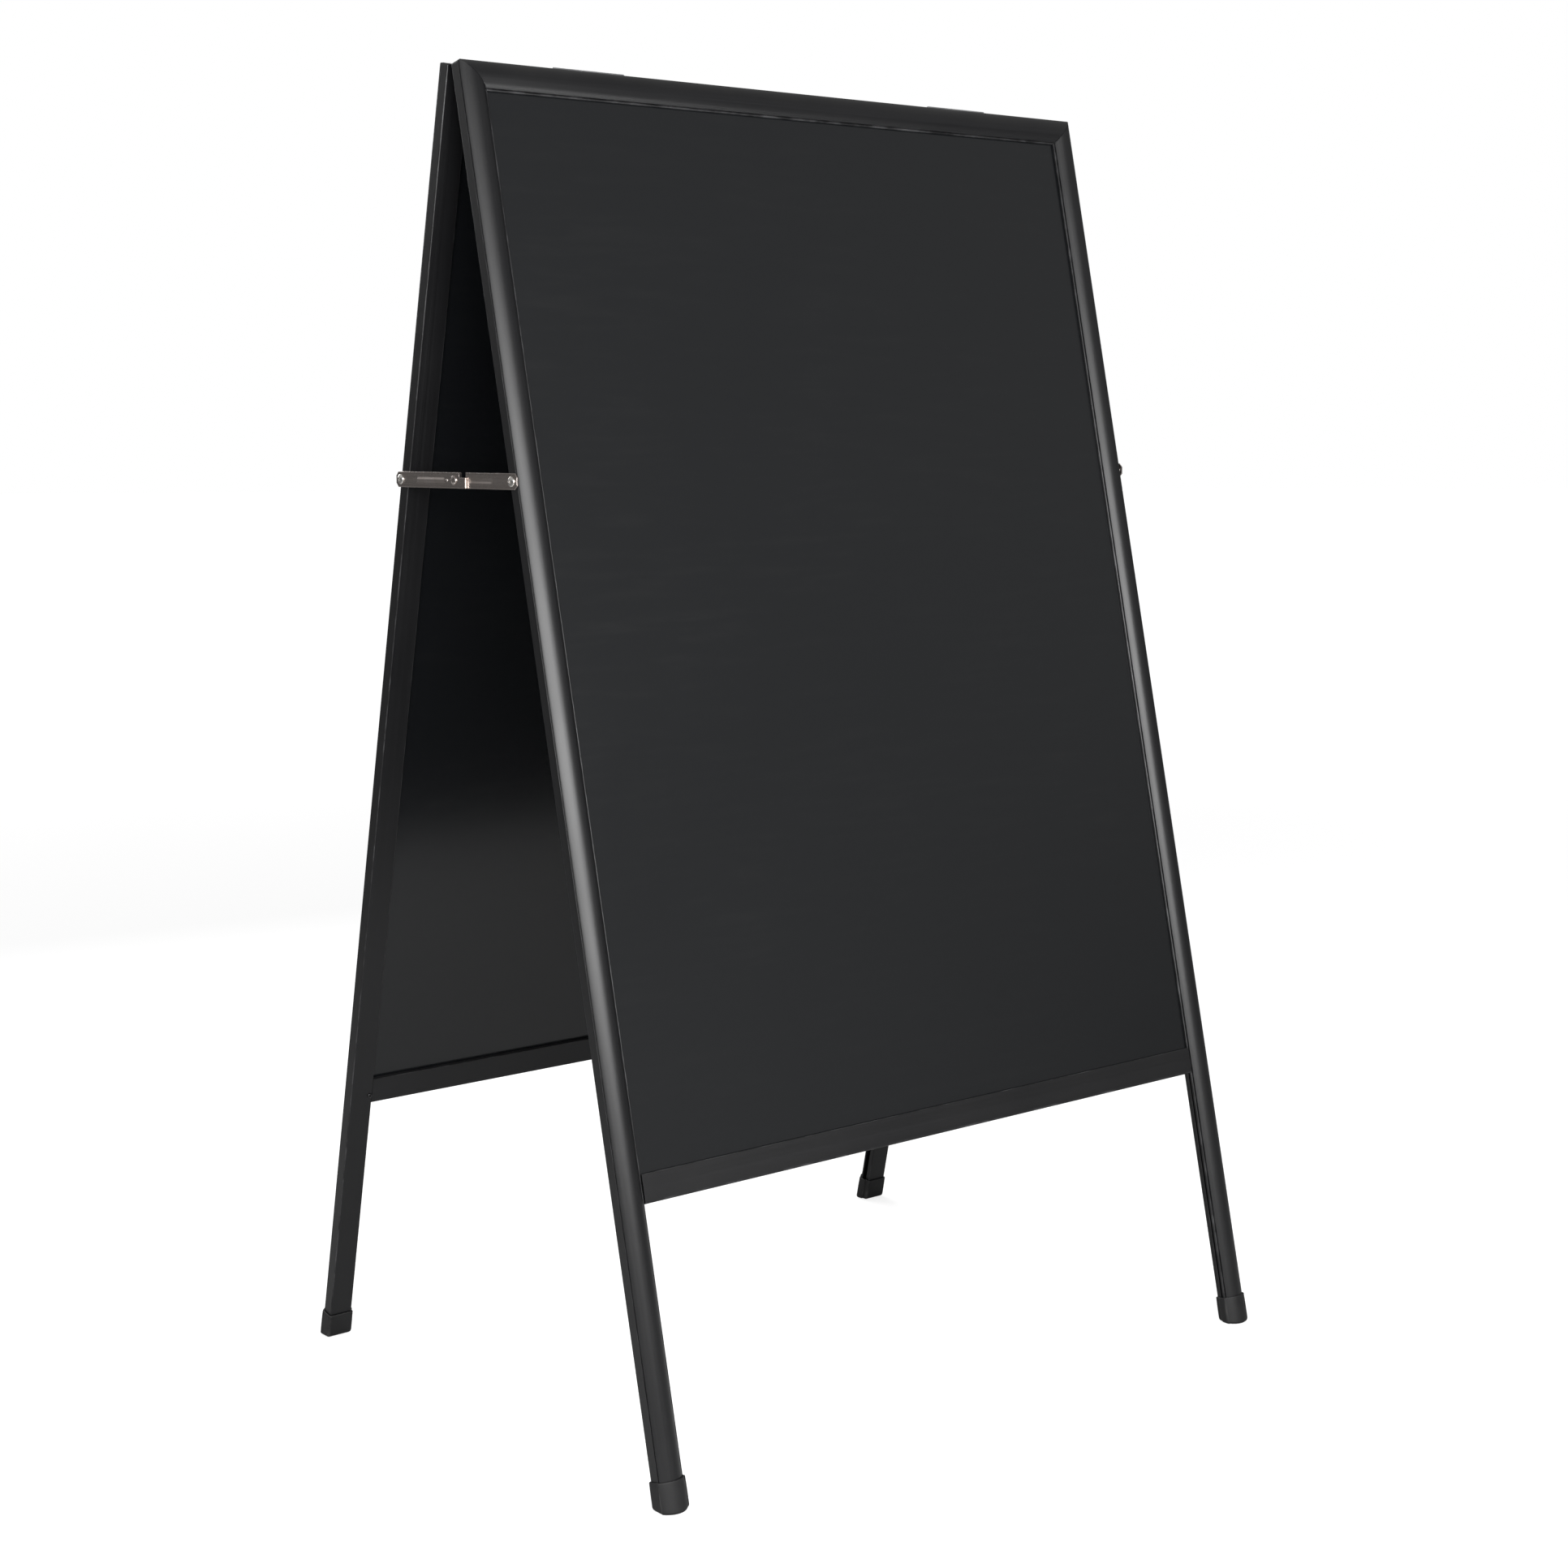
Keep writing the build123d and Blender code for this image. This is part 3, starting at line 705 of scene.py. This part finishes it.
# %% [markdown]
# The lower rail is a flat box section between the stiles, with a channel on
# top for the board's lower edge. Its front stops short of the bead, and its
# back runs on behind it. Two cross-sections do this in one skin: beyond the
# step, the front part of the outline is folded down onto the back part.

# %% Lower rails
rail_top, rail_low = 790.0, 811.0
rail_back, rail_front = 0.6, 10.6
channel_depth = 6.2
butt_gap = 0.3
step_depth = channel_front - 0.1


def lower_rail_grid():
    """Rows across the leaf of the rail's outline, with the front folded away near the ends."""
    outline = [(rail_top, rail_back), (rail_low, rail_back), (rail_low, rail_front),
               (rail_top, rail_front), (rail_top, channel_front),
               (rail_top + channel_depth, channel_front),
               (rail_top + channel_depth, channel_back), (rail_top, channel_back)]
    points, edge = soften(outline, (0.4, 2.0, 2.0, 0.4, 0.25, 0.1, 0.1, 0.25))
    v, w = points.T
    in_front = w > step_depth - 0.001
    folded_v = np.where(in_front, np.maximum(v, rail_top + channel_depth), v)
    folded_w = np.minimum(w, step_depth)
    back_half = half_width - trim_face - butt_gap
    front_half = half_width - inner_face - butt_gap
    breaks = front_half - np.array([0.0, cut_break, 30.0])
    x = np.concatenate([[-back_half, -front_half], -breaks, breaks[::-1], [front_half, back_half]])
    drawn = points - cut_break * outward(points)
    rows_v = np.stack([folded_v, folded_v, drawn[:, 0], v, v, v, v, drawn[:, 0], folded_v, folded_v])
    rows_w = np.stack([folded_w, folded_w, drawn[:, 1], w, w, w, w, drawn[:, 1], folded_w, folded_w])
    return x[:, None], rows_v, rows_w, edge


x, v, w, edge = lower_rail_grid()
for end in leaves:
    dress(f"{end}_lower_rail", "dressed", x, v, w, edge, brushed_anodised, "frame")

# %% [markdown]
# The board is a plain sheet, held all round in the channels, so only its
# two faces ever show. It is the same kind of grid: a thin rounded outline
# carried across the leaf.

# %% Boards
board_thickness = 3.0
board_back = channel_back + 0.1
board_edge = channel_floor + 0.5
board_low = rail_top + channel_depth - 0.5


def board_grid():
    """Rows across the leaf of the sheet's outline, drawn in a little at both ends."""
    front = board_back + board_thickness
    outline = [(board_edge, board_back), (board_low, board_back), (board_low, front),
               (board_edge, front)]
    points, edge = soften(outline, 0.3)
    drawn = points - cut_break * outward(points)
    reach = half_width - board_edge
    x = np.array([-reach, -reach + cut_break, reach - cut_break, reach])
    rows = np.stack([drawn, points, points, drawn])
    return x[:, None], rows[..., 0], rows[..., 1], edge


x, v, w, edge = board_grid()
for end in leaves:
    dress(f"{end}_board", "dressed", x, v, w, edge, laminate, "board")

# %% [markdown]
# ## Feet
#
# Each foot is a moulded rubber cap, pushed over the leg's end. A cap is a
# stack of rings: the leg's outline, grown by some amount, at some distance
# down the leg. The rings start in the pocket, turn over the rim, run down
# the wall, which swells a little towards the ground, and round into a sole
# that is level although the leg leans. For that, the lowest rings measure
# their distance from the ground and not from the leg's end. A fine sunk line
# on the side carries on the trim's shadow line.

# %% The leg's outline and the rings of a cap
foot_top = leaf_length - 20.0
foot_play = 0.1
wall_top, wall_low, wall_reach = 1.5, 1.65, 9.0
sole_radius = 2.6
line_on_side = np.array([0.0, side_depth - 1.0])
line_half_width, line_depth = 0.35, 0.6


def foot_outline():
    """Outline of the leg with its channel and shadow line filled, and points for the sunk line."""
    front = np.vstack([crest_arc(shoulder, 10)[::-1], crest, crest_arc((0, side_depth), 10)])
    start = [(0, 0), (trim_face, 0), (trim_face, channel_back), (inner_face, channel_back),
             (inner_face, bead_depth)]
    line = line_on_side + [(0, line_half_width), (0, 0), (0, -line_half_width)]
    points = np.vstack([start, front, line])
    radii = np.zeros(len(points))
    radii[:5] = (1.0, 1.0, 0.3, 0.7, 0.9)
    radii[-4] = 0.3
    return soften(points, radii, 3)


def foot_rings():
    """Growth and way down of each ring, then growth and height of the sole's rings."""
    rim = np.linspace(0, 1, 6)
    turned = np.radians(180 * rim)
    middle = (foot_play + wall_top) / 2
    rim_growth = middle - (wall_top - foot_play) / 2 * np.cos(turned)
    rim_down = 0.7 * (1 - np.sin(turned))
    growth = np.concatenate([[foot_play], rim_growth, [wall_low]])
    down = np.concatenate([[stile_length - foot_top], rim_down, [wall_reach]])
    turn = np.radians(np.linspace(0, 90, 7))
    sole_growth = wall_low - sole_radius * (1 - np.cos(turn))
    sole_height = sole_radius * (1 - np.sin(turn))
    sole_growth = np.concatenate([sole_growth, [-1.9, -2.2, -3.4]])
    sole_height = np.concatenate([sole_height, [0.0, 0.55, 0.6]])
    return growth, down, sole_growth, sole_height


def foot_grid():
    """Grid of a cap: ring by ring, in from the side, down the leaf, out from the back.

    Each ring is the outline plus its growth along the normals. The sunk line
    takes its depth off that growth wherever a ring has grown past the leg.
    """
    outline, edge = foot_outline()
    normal = outward(outline)
    growth, down, sole_growth, sole_height = foot_rings()
    every = np.concatenate([growth, sole_growth])[:, None]
    on_line = np.hypot(*(outline - line_on_side).T) < 0.05
    every = every - line_depth * on_line * np.clip((every - 0.6) / 0.6, 0, 1)
    a = outline[:, 0] + every * normal[:, 0]
    w = outline[:, 1] + every * normal[:, 1]
    upper = foot_top + down[:, None] + 0 * a[:len(growth)]
    lower = (top_height + w[len(growth):] * sin(tilt) - sole_height[:, None]) / cos(tilt)
    return a, np.concatenate([upper, lower]), w, edge


a, v, w, edge = foot_grid()
for end in leaves:
    for side in ("left", "right"):
        x = local_sign(end, side) * (half_width - a)
        dress(f"{end}_{side}_foot", "moulded", x, v, w, edge, rubber, "foot")

# %% [markdown]
# ## Stays
#
# A stay is two links of flat strip that share a rivet, the knee. The rear
# link laps outside the front one and ends in a stepped tongue. Both carry a
# pressed rib that stiffens them: the rear link's stands proud, the front
# link's is sunk, because it passes close under the other. A link is a
# rounded strip section carried along its length, whose top and bottom edges
# move as the outline asks, so the step and the clipped corners come from
# two functions of the distance along the link. Beside the knee the rear link
# has a small round pip.

# %% Where the stays are
left_front = next(joint for joint in frame["joints"] if joint["name"] == "front_link_left_pivot")
half_span = -left_front["pos_m"][1] / MM
stay_height = left_front["pos_m"][2] / MM
link_width, link_thickness, link_tail, link_clip = 11.5, 1.2, 6.6, 2.9
inner_layer, outer_layer = 0.65, 2.2
print(f"stay at height {stay_height:.1f}, end rivets {half_span:.1f} from the knee")


def outwards(side):
    """Unit vector out of the frame's left or right side."""
    return (1.0 if side == "right" else -1.0, 0.0, 0.0)


def beside(side, y, z, out):
    """Points beside a stile: y back from the knee, z up from it, out from the stile's side."""
    y, z, out = np.broadcast_arrays(y, z, out)
    return np.stack([outwards(side)[0] * (half_width + out), y, stay_height + z], -1)


# %% A link as a strip whose edges move
def link_grid(y, low, high, face, press):
    """Grid of a link between its lower and its upper edge.

    The section is a rounded rectangle. Its lower part keeps its distance
    from the low edge and its upper part from the high edge. press(y, z) is
    added to the distance out, so both faces show the rib.
    """
    half, thick, soft = link_width / 2, link_thickness / 2, 0.28
    levels = np.linspace(-half, half, 25)[1:-1]
    right = np.stack([levels, np.full(len(levels), thick)], -1)
    left = right[::-1] * (1, -1)
    corners = [(-half, thick), *right, (half, thick), (half, -thick), *left, (-half, -thick)]
    radii = np.zeros(len(corners))
    radii[[0, len(levels) + 1, len(levels) + 2, len(corners) - 1]] = soft
    section, edge = soften(np.array(corners)[::-1], radii[::-1], 4)
    level = np.clip((section[:, 0] + half - soft) / (link_width - 2 * soft), 0, 1)
    inset = np.zeros(len(y))
    inset[[0, -1]] = soft
    y, low, high, inset = (part[:, None] for part in (y, low, high, inset))
    z = section[:, 0] + (low + half) * (1 - level) + (high - half) * level
    z = np.clip(z, low + inset, high - inset)
    thin = np.clip(section[:, 1], -thick + inset, thick - inset)
    return y, z, face + thick + thin + press(y, z), edge


def rib(start, stop, width, height):
    """A pressed rib: a cosine hill across, with ends that run out over its own width."""
    def press(y, z):
        along = np.clip(np.minimum(y - start, stop - y) / width + 0.5, 0, 1)
        across = np.clip(1 - np.abs(z) / width, 0, 1)
        return height * np.sin(pi / 2 * along) ** 2 * np.sin(pi / 2 * across) ** 2
    return press


def between(*marks, step=0.6):
    """Distances from mark to mark with even rows of about one step between them, marks kept."""
    spans = [np.linspace(first, last, int((last - first) / step) + 4)[:-1]
             for first, last in zip(marks[:-1], marks[1:])]
    return np.append(np.concatenate(spans), marks[-1])


# %% Front and rear links
tongue_reach, tongue_step, tongue_slope, tongue_rise = 15.0, 6.5, 1.0, 2.0
neck_step = 13.4
edge_round = 0.28
half_link = link_width / 2
tail = half_span + link_tail


def clipped(distance):
    """How far an edge is drawn in near a clipped end, by the distance to that end."""
    return np.clip(link_clip - distance, 0, None)


def front_link_edges():
    """Front link: clipped at both ends, with a notch in its top edge beside the knee."""
    y = between(-tail, -tail + edge_round, -tail + link_clip, -neck_step, -neck_step + 0.01,
                -tongue_step, -tongue_step + 0.01, half_link - link_clip, half_link - edge_round,
                half_link)
    drawn = clipped(np.minimum(y + tail, half_link - y))
    high = half_link - drawn
    notched = (y > -neck_step + 0.005) & (y < -tongue_step + 0.005)
    return y, -half_link + drawn, np.where(notched, np.minimum(high, tongue_rise), high)


def rear_link_edges():
    """Rear link: a tongue with a sloped step at the knee, and a clipped tail."""
    y = between(-tongue_reach, -tongue_reach + edge_round, -tongue_step - tongue_slope,
                -tongue_step, tail - link_clip, tail - edge_round, tail)
    drawn = clipped(tail - y)
    rise = np.clip((y + tongue_step + tongue_slope) / tongue_slope, 0, 1)
    high = tongue_rise + (half_link - tongue_rise) * rise
    return y, -half_link + drawn, np.minimum(high, half_link - drawn)


pip_place, pip_radius, pip_height = 8.9, 1.1, 0.7


def pip_profile(face):
    """A small round pip pressed out of the strip: half an ellipse on a short root."""
    turn = np.radians(np.linspace(0, 90, 9))[1:]
    rise = np.stack([pip_radius * np.cos(turn), face + pip_height * np.sin(turn)], -1)
    return np.vstack([[(0, face - 0.4), (pip_radius, face - 0.4), (pip_radius, face)], rise])


front_rib = rib(-47.0, -16.5, 2.2, -0.26)
rear_rib = rib(12.6, 49.2, 2.3, 0.42)
for side in ("left", "right"):
    y, z, out, edge = link_grid(*front_link_edges(), inner_layer, front_rib)
    add_piece(f"{side}_front_link_pressed", [shell(beside(side, y, z, out), edge)], nickel,
              f"front_link_{side}", "stay", f"{side}_front_link")
    y, z, out, edge = link_grid(*rear_link_edges(), outer_layer, rear_rib)
    pip = lathe(pip_profile(outer_layer + link_thickness), beside(side, pip_place, 0.0, 0.0),
                outwards(side), turns=32)
    add_piece(f"{side}_rear_link_pressed", [shell(beside(side, y, z, out), edge), pip], nickel,
              f"rear_link_{side}", "stay", f"{side}_rear_link")

# %% [markdown]
# Rivets and washers are turned shapes: a profile swept round an axis. The
# end rivets are blind rivets, so their domed heads have a hole with the end
# of the broken-off mandrel in it. The knee rivet is solid, and its low head
# is rolled into a ring.

# %% Rivets and washers
rivet_radius, head_radius, head_height = 2.0, 3.8, 1.4
hole_rim, dome_share = 1.35, 0.72
wall, upset_radius, upset = 1.4, 2.7, 3.0
play = 0.15


def dome(top):
    """A blind rivet's head from its rim in to the hole: the height rises as an ellipse."""
    radius = np.linspace(hole_rim, head_radius, 9)[::-1]
    level = np.sqrt(np.clip(1 - (radius / head_radius) ** 2, 0, 1))
    return np.stack([radius, top - head_height * dome_share * (1 - level)], -1)


def end_rivet_profile(under_head):
    """Blind rivet, from its upset tail inside the stile to the mandrel in its head."""
    top = under_head + head_height
    return np.vstack([[(0, -wall - upset), (1.9, -wall - upset), (upset_radius, -wall - upset + 0.9),
                       (upset_radius, -wall), (rivet_radius, -wall), (rivet_radius, under_head),
                       (head_radius - 0.1, under_head), (head_radius, under_head + 0.1)],
                      dome(top),
                      [(1.15, top - 0.25), (1.1, top - 0.75), (0.8, top - 0.75), (0.78, top - 0.42),
                       (0.6, top - 0.32), (0, top - 0.3)]])


def knee_rivet_profile():
    """Solid rivet, fast in the rear link: a shank, then a low head with a rolled ring."""
    face = outer_layer + link_thickness
    shank = [(0, outer_layer), (rivet_radius, outer_layer), (rivet_radius, face)]
    ring = [(3.3, 0), (3.4, 0.1), (3.4, 0.55), (3.25, 0.75), (2.9, 0.85), (2.5, 0.75), (2.2, 0.5)]
    dish = [(1.9, 0.45), (1.0, 0.5), (0, 0.52)]
    return np.vstack([shank, np.array(ring + dish) + (0, face)])


def washer_profile(thickness):
    """Ring section, a little rounded."""
    points, _ = soften([(rivet_radius + 0.02, 0), (4.6, 0), (4.6, thickness),
                        (rivet_radius + 0.02, thickness)], 0.12)
    return points


def ring_shell(profile, centre, axis):
    """A closed ring: the profile's own loop swept round the axis, with no caps."""
    points, faces, uv, mask = lathe(profile, centre, axis, turns=64)
    grid = points.reshape(len(profile), -1, 3)
    return shell(grid, caps=False)


for side in ("left", "right"):
    axis = outwards(side)
    for end, layer in (("front", inner_layer), ("rear", outer_layer)):
        y = half_span * (-1 if end == "front" else 1)
        centre = beside(side, y, 0.0, 0.0)
        profile = end_rivet_profile(layer + link_thickness + play)
        add_piece(f"{end}_{side}_stay_rivet_domed", [lathe(profile, centre, axis)], rivet_metal,
                  f"{end}_leaf", "stay", f"{end}_{side}_stay_rivet")
        add_piece(f"{end}_{side}_stay_washer_turned",
                  [ring_shell(washer_profile(layer - play), centre, axis)], zinc,
                  f"{end}_leaf", "stay", f"{end}_{side}_stay_washer")
    knee = lathe(knee_rivet_profile(), beside(side, 0.0, 0.0, 0.0), axis)
    add_piece(f"{side}_middle_rivet_domed", [knee], nickel, f"rear_link_{side}", "stay",
              f"{side}_middle_rivet")

# %% [markdown]
# ## Screws
#
# A screw head with a cross recess could be cut with a boolean, but a recess
# is only a dip in the head's height. So the head is a turned shape whose
# height loses a little wherever a point lies in one of two crossed slots.

# %% Screws with a cross recess
def cross_recess(reach, width, depth):
    """Depth of the recess at a radius and angle: full in either slot, nothing outside."""
    def cut(radius, angle):
        along, beside_slot = np.abs(radius * np.cos(angle)), np.abs(radius * np.sin(angle))
        slot = np.minimum(along, beside_slot)
        end_of_slot = np.maximum(along, beside_slot)
        inside = np.clip((width / 2 - slot) / (0.25 * width), 0, 1)
        return depth * inside * np.clip((reach - end_of_slot) / (0.3 * reach), 0, 1)
    return cut


def screw(profile, centre, axis, cut, floor):
    """One screw, from its tip to the middle of its head; only points above floor are cut."""
    above = np.array(profile, float)[:, 1:] > floor
    return lathe(profile, centre, axis, turns=64,
                 depth=lambda radius, angle: cut(radius, angle) * above)


def fill(first, last, steps):
    """Even points from one profile point to another, the last one left out."""
    return np.linspace(first, last, steps, endpoint=False)


hinge_centre, screw_spacing, screw_drop = 185.0, 22.0, 11.0
plate = 1.2
rail_screw_in = channel_floor + 2.2
rail_middle = (rail_top + channel_depth + rail_low) / 2


def hinge_screw_profile():
    """Countersunk screw: tip inside the rail, cone in the flap, nearly flat head."""
    return np.vstack([[(0, -7.0), (0.5, -7.0), (1.4, -5.6), (1.4, 0.0), (2.5, 1.08), (2.55, plate)],
                      fill((2.5, plate), (0.02, plate), 16), [(0, plate)]])


def rail_screw_profile():
    """Pan-head screw: shank through the stile, and a low rounded head on its back."""
    rim = arc((1.5, 0.5), 0.5, 0, 80, 5) * (1, 1) + (0, 0.05)
    return np.vstack([[(0, -7.2), (1.25, -7.2), (1.25, 0), (2.0, 0)], rim,
                      fill((1.5, 1.06), (0.02, 1.1), 14), [(0, 1.1)]])


for end, leaf in leaves.items():
    rows = [centre + step for centre in (-hinge_centre, hinge_centre)
            for step in (-screw_spacing, 0.0, screw_spacing)]
    screws = [screw(hinge_screw_profile(), on_leaf(leaf, x, screw_drop, 0.0), -leaf["out"],
                    cross_recess(1.5, 0.55, 0.7), 1.1) for x in rows]
    add_piece(f"{end}_hinge_screws_turned", screws, zinc, f"{end}_leaf", "hinge",
              f"{end}_hinge_screws")
    screws = [screw(rail_screw_profile(), on_leaf(leaf, sign * (half_width - rail_screw_in),
                                                  rail_middle, 0.0), -leaf["out"],
                    cross_recess(1.15, 0.45, 0.6), 0.9) for sign in (-1, 1)]
    add_piece(f"{end}_rail_screws_turned", screws, blackened, f"{end}_leaf", "connector",
              f"{end}_rail_screws")
print("rail screws at", rail_middle)

# %% [markdown]
# The hinge flaps, their pins, and the keys and connectors inside the frame
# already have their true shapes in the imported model. They only need a
# finish that reads object coordinates, as they have no map of their own.

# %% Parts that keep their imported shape
for name, packed in frame["nodes"].items():
    if name.endswith(("hinge_flap", "hinge_pin")):
        packed.data.materials.clear()
        packed.data.materials.append(zinc)
    elif name.endswith(("corner_key", "rail_connector")):
        packed.data.materials.clear()
        packed.data.materials.append(mill)

# %% [markdown]
# ## Studio
#
# The camera stands to the front left, a little above the middle of the
# board, and looks slightly down. Its turn is given as the angle round from
# looking straight at the front, the angle of its tilt, and a trace of roll.

# %% Camera
camera_place = Vector((-1.31091, -1.57865, 0.73904))
camera_round, camera_tilt, camera_roll = radians(39.574), radians(-7.850), radians(-0.218)


def camera_axes():
    """Right, up and backward axes of the camera as the columns of a matrix."""
    forward = Vector((sin(camera_round) * cos(camera_tilt), cos(camera_round) * cos(camera_tilt),
                      sin(camera_tilt)))
    right = Vector((cos(camera_round), -sin(camera_round), 0.0))
    up = right.cross(forward)
    rolled_right = cos(camera_roll) * right + sin(camera_roll) * up
    rolled_up = cos(camera_roll) * up - sin(camera_roll) * right
    return Matrix((rolled_right, rolled_up, -forward)).transposed().to_4x4()


camera = put_in_scene("camera", bpy.data.cameras.new("camera"))
bpy.context.scene.camera = camera
camera.matrix_world = Matrix.Translation(camera_place) @ camera_axes()
camera.data.sensor_width = 36.0
camera.data.lens = 58.90
camera.data.shift_x, camera.data.shift_y = 0.00304, -0.00066
camera.data.dof.use_dof = False

# %% [markdown]
# The floor is a pale sheet. Lit brightly enough to look white, it would also
# light the object from below and turn its black finishes grey. So it has a
# middling colour, and a glow that only the camera sees.

# %% Floor
floor_rings = np.array([0.0, 1.0, 3.0, 8.0, 30.0])
floor_turns = 64
floor_height = -0.0003
near_glow, far_glow = 0.74, 0.92


def make_floor():
    """A wide disc, as rings of points round the middle, a hair below the feet."""
    radius = floor_rings[:, None]
    angle = np.linspace(0, 2 * pi, floor_turns, endpoint=False)
    points = np.stack([radius * np.cos(angle), radius * np.sin(angle),
                       np.full((len(radius), floor_turns), floor_height)], -1)
    i, j = np.meshgrid(np.arange(len(radius) - 1), np.arange(floor_turns), indexing="ij")
    after = (j + 1) % floor_turns
    quads = np.stack([i * floor_turns + j, (i + 1) * floor_turns + j,
                      (i + 1) * floor_turns + after, i * floor_turns + after], -1)
    mesh = bpy.data.meshes.new("floor")
    mesh.from_pydata(points.reshape(-1, 3), [], quads.reshape(-1, 4).tolist())
    material, tree, shader = start_material("pale_floor", Roughness=0.8)
    shader.inputs["Base Color"].default_value = (0.42, 0.42, 0.42, 1.0)
    shader.inputs["Emission Color"].default_value = (1.0, 1.0, 1.0, 1.0)
    distance = node(tree, "ShaderNodeVectorMath", object_place(tree), operation="LENGTH")
    far = spread(tree, distance.outputs["Value"], 1.5, 6.0)
    seen = node(tree, "ShaderNodeLightPath").outputs["Is Camera Ray"]
    glow = times(tree, spread(tree, far, 0.0, 1.0, near_glow, far_glow), seen)
    tree.links.new(glow, shader.inputs["Emission Strength"])
    mesh.materials.append(material)
    floor = put_in_scene("floor", mesh)


make_floor()
print("floor radius", floor_rings[-1], "m")

# %% [markdown]
# A glossy black object is drawn by what it mirrors, so the room matters as
# much as the lamps. It could be an even grey, but then every face would look
# alike. This one is brighter low down, except on the right, so the lower
# members lift off the boards. Dark flags behind on the left and far round on
# the right keep the side faces dark.

# %% Room
room_level = 0.38
dark_corner = (-0.574, 0.819, 0.0)


def mix_levels(tree, share, first, second):
    """A number between two others, each a value or a socket, by a share."""
    made = node(tree, "ShaderNodeMix", share, data_type="FLOAT")
    for index, value in ((2, first), (3, second)):
        if isinstance(value, bpy.types.NodeSocket):
            tree.links.new(value, made.inputs[index])
        else:
            made.inputs[index].default_value = value
    return made.outputs[0]


def make_room():
    """A surround that the camera sees as white, and that lights and mirrors as a soft room.

    Away from the flags, the level is 0.70 at the horizon, or 0.17 on the
    right, and it passes to the room's own a little higher up. The share of
    the dark corner in a direction grows with their dot product, and the
    corner's own level rises with the height. The flag on the right takes off
    up to 55 percent.
    """
    world = bpy.data.worlds.new("room")
    bpy.context.scene.world = world
    world.use_nodes = True
    tree = world.node_tree
    view = node(tree, "ShaderNodeTexCoord").outputs["Generated"]
    side, _, height = node(tree, "ShaderNodeSeparateXYZ", view).outputs
    flagged = node(tree, "ShaderNodeVectorMath", view, dark_corner,
                   operation="DOT_PRODUCT").outputs["Value"]
    low = spread(tree, side, 0.58, 0.74, 0.70, 0.17)
    open_room = spread(tree, height, 0.0, 0.2, low, room_level)
    corner = spread(tree, height, 0.03, 0.17, 0.05, 0.50)
    level = mix_levels(tree, spread(tree, flagged, 0.1, 0.75), open_room, corner)
    shaded = times(tree, level, spread(tree, side, 0.80, 0.97, 1.0, 0.45))
    seen = node(tree, "ShaderNodeLightPath").outputs["Is Camera Ray"]
    background = tree.nodes["Background"]
    background.inputs["Color"].default_value = (1.0, 1.0, 1.0, 1.0)
    tree.links.new(mix_levels(tree, seen, shaded, 1.0), background.inputs["Strength"])


make_room()
print("room level", room_level)

# %% [markdown]
# A wide soft box on the front left draws the long highlights on the rounded
# trim: its width sets theirs. A reflector on the floor in front lights the
# lower half of the top rail, and its cone is narrowed so that the boards
# don't mirror it. A third box behind gives the rear leaf its shine.

# %% Lamps
def away_from_middle(azimuth, height_angle):
    """Unit vector by azimuth, 0 in front and 90 on the right, and angle above the horizon."""
    turn, rise = radians(azimuth), radians(height_angle)
    return Vector((sin(turn) * cos(rise), -cos(turn) * cos(rise), sin(rise)))


def soft_box(name, place, behind, size, brightness, cone=180):
    """A rectangular lamp with its back to a direction; brightness is per area, cone in degrees."""
    lamp = bpy.data.lights.new(name, "AREA")
    lamp.shape = "RECTANGLE"
    lamp.size, lamp.size_y = size
    lamp.energy = brightness * pi * size[0] * size[1]
    lamp.spread = radians(cone)
    box = put_in_scene(name, lamp)
    box.location = place
    box.rotation_mode = "QUATERNION"
    box.rotation_quaternion = behind.to_track_quat("Z", "Y")
    box.visible_camera = False


middle = (cad_low + cad_high) / 2
key, rear, floor_side = (away_from_middle(*angles) for angles in ((-30, 15), (172, 24), (0, -90)))
soft_box("floor_reflector", (0.20, -0.95, 0.01), floor_side, (0.8, 0.7), 8.0, cone=116)
soft_box("key_soft_box", middle + 1.45 * key, key, (1.75, 0.72), 11.8)
soft_box("rear_soft_box", middle + 1.6 * rear, rear, (1.4, 0.7), 6.0)
bpy.context.scene.view_settings.view_transform = "Standard"
print("lamps", [light.name for light in bpy.data.lights])
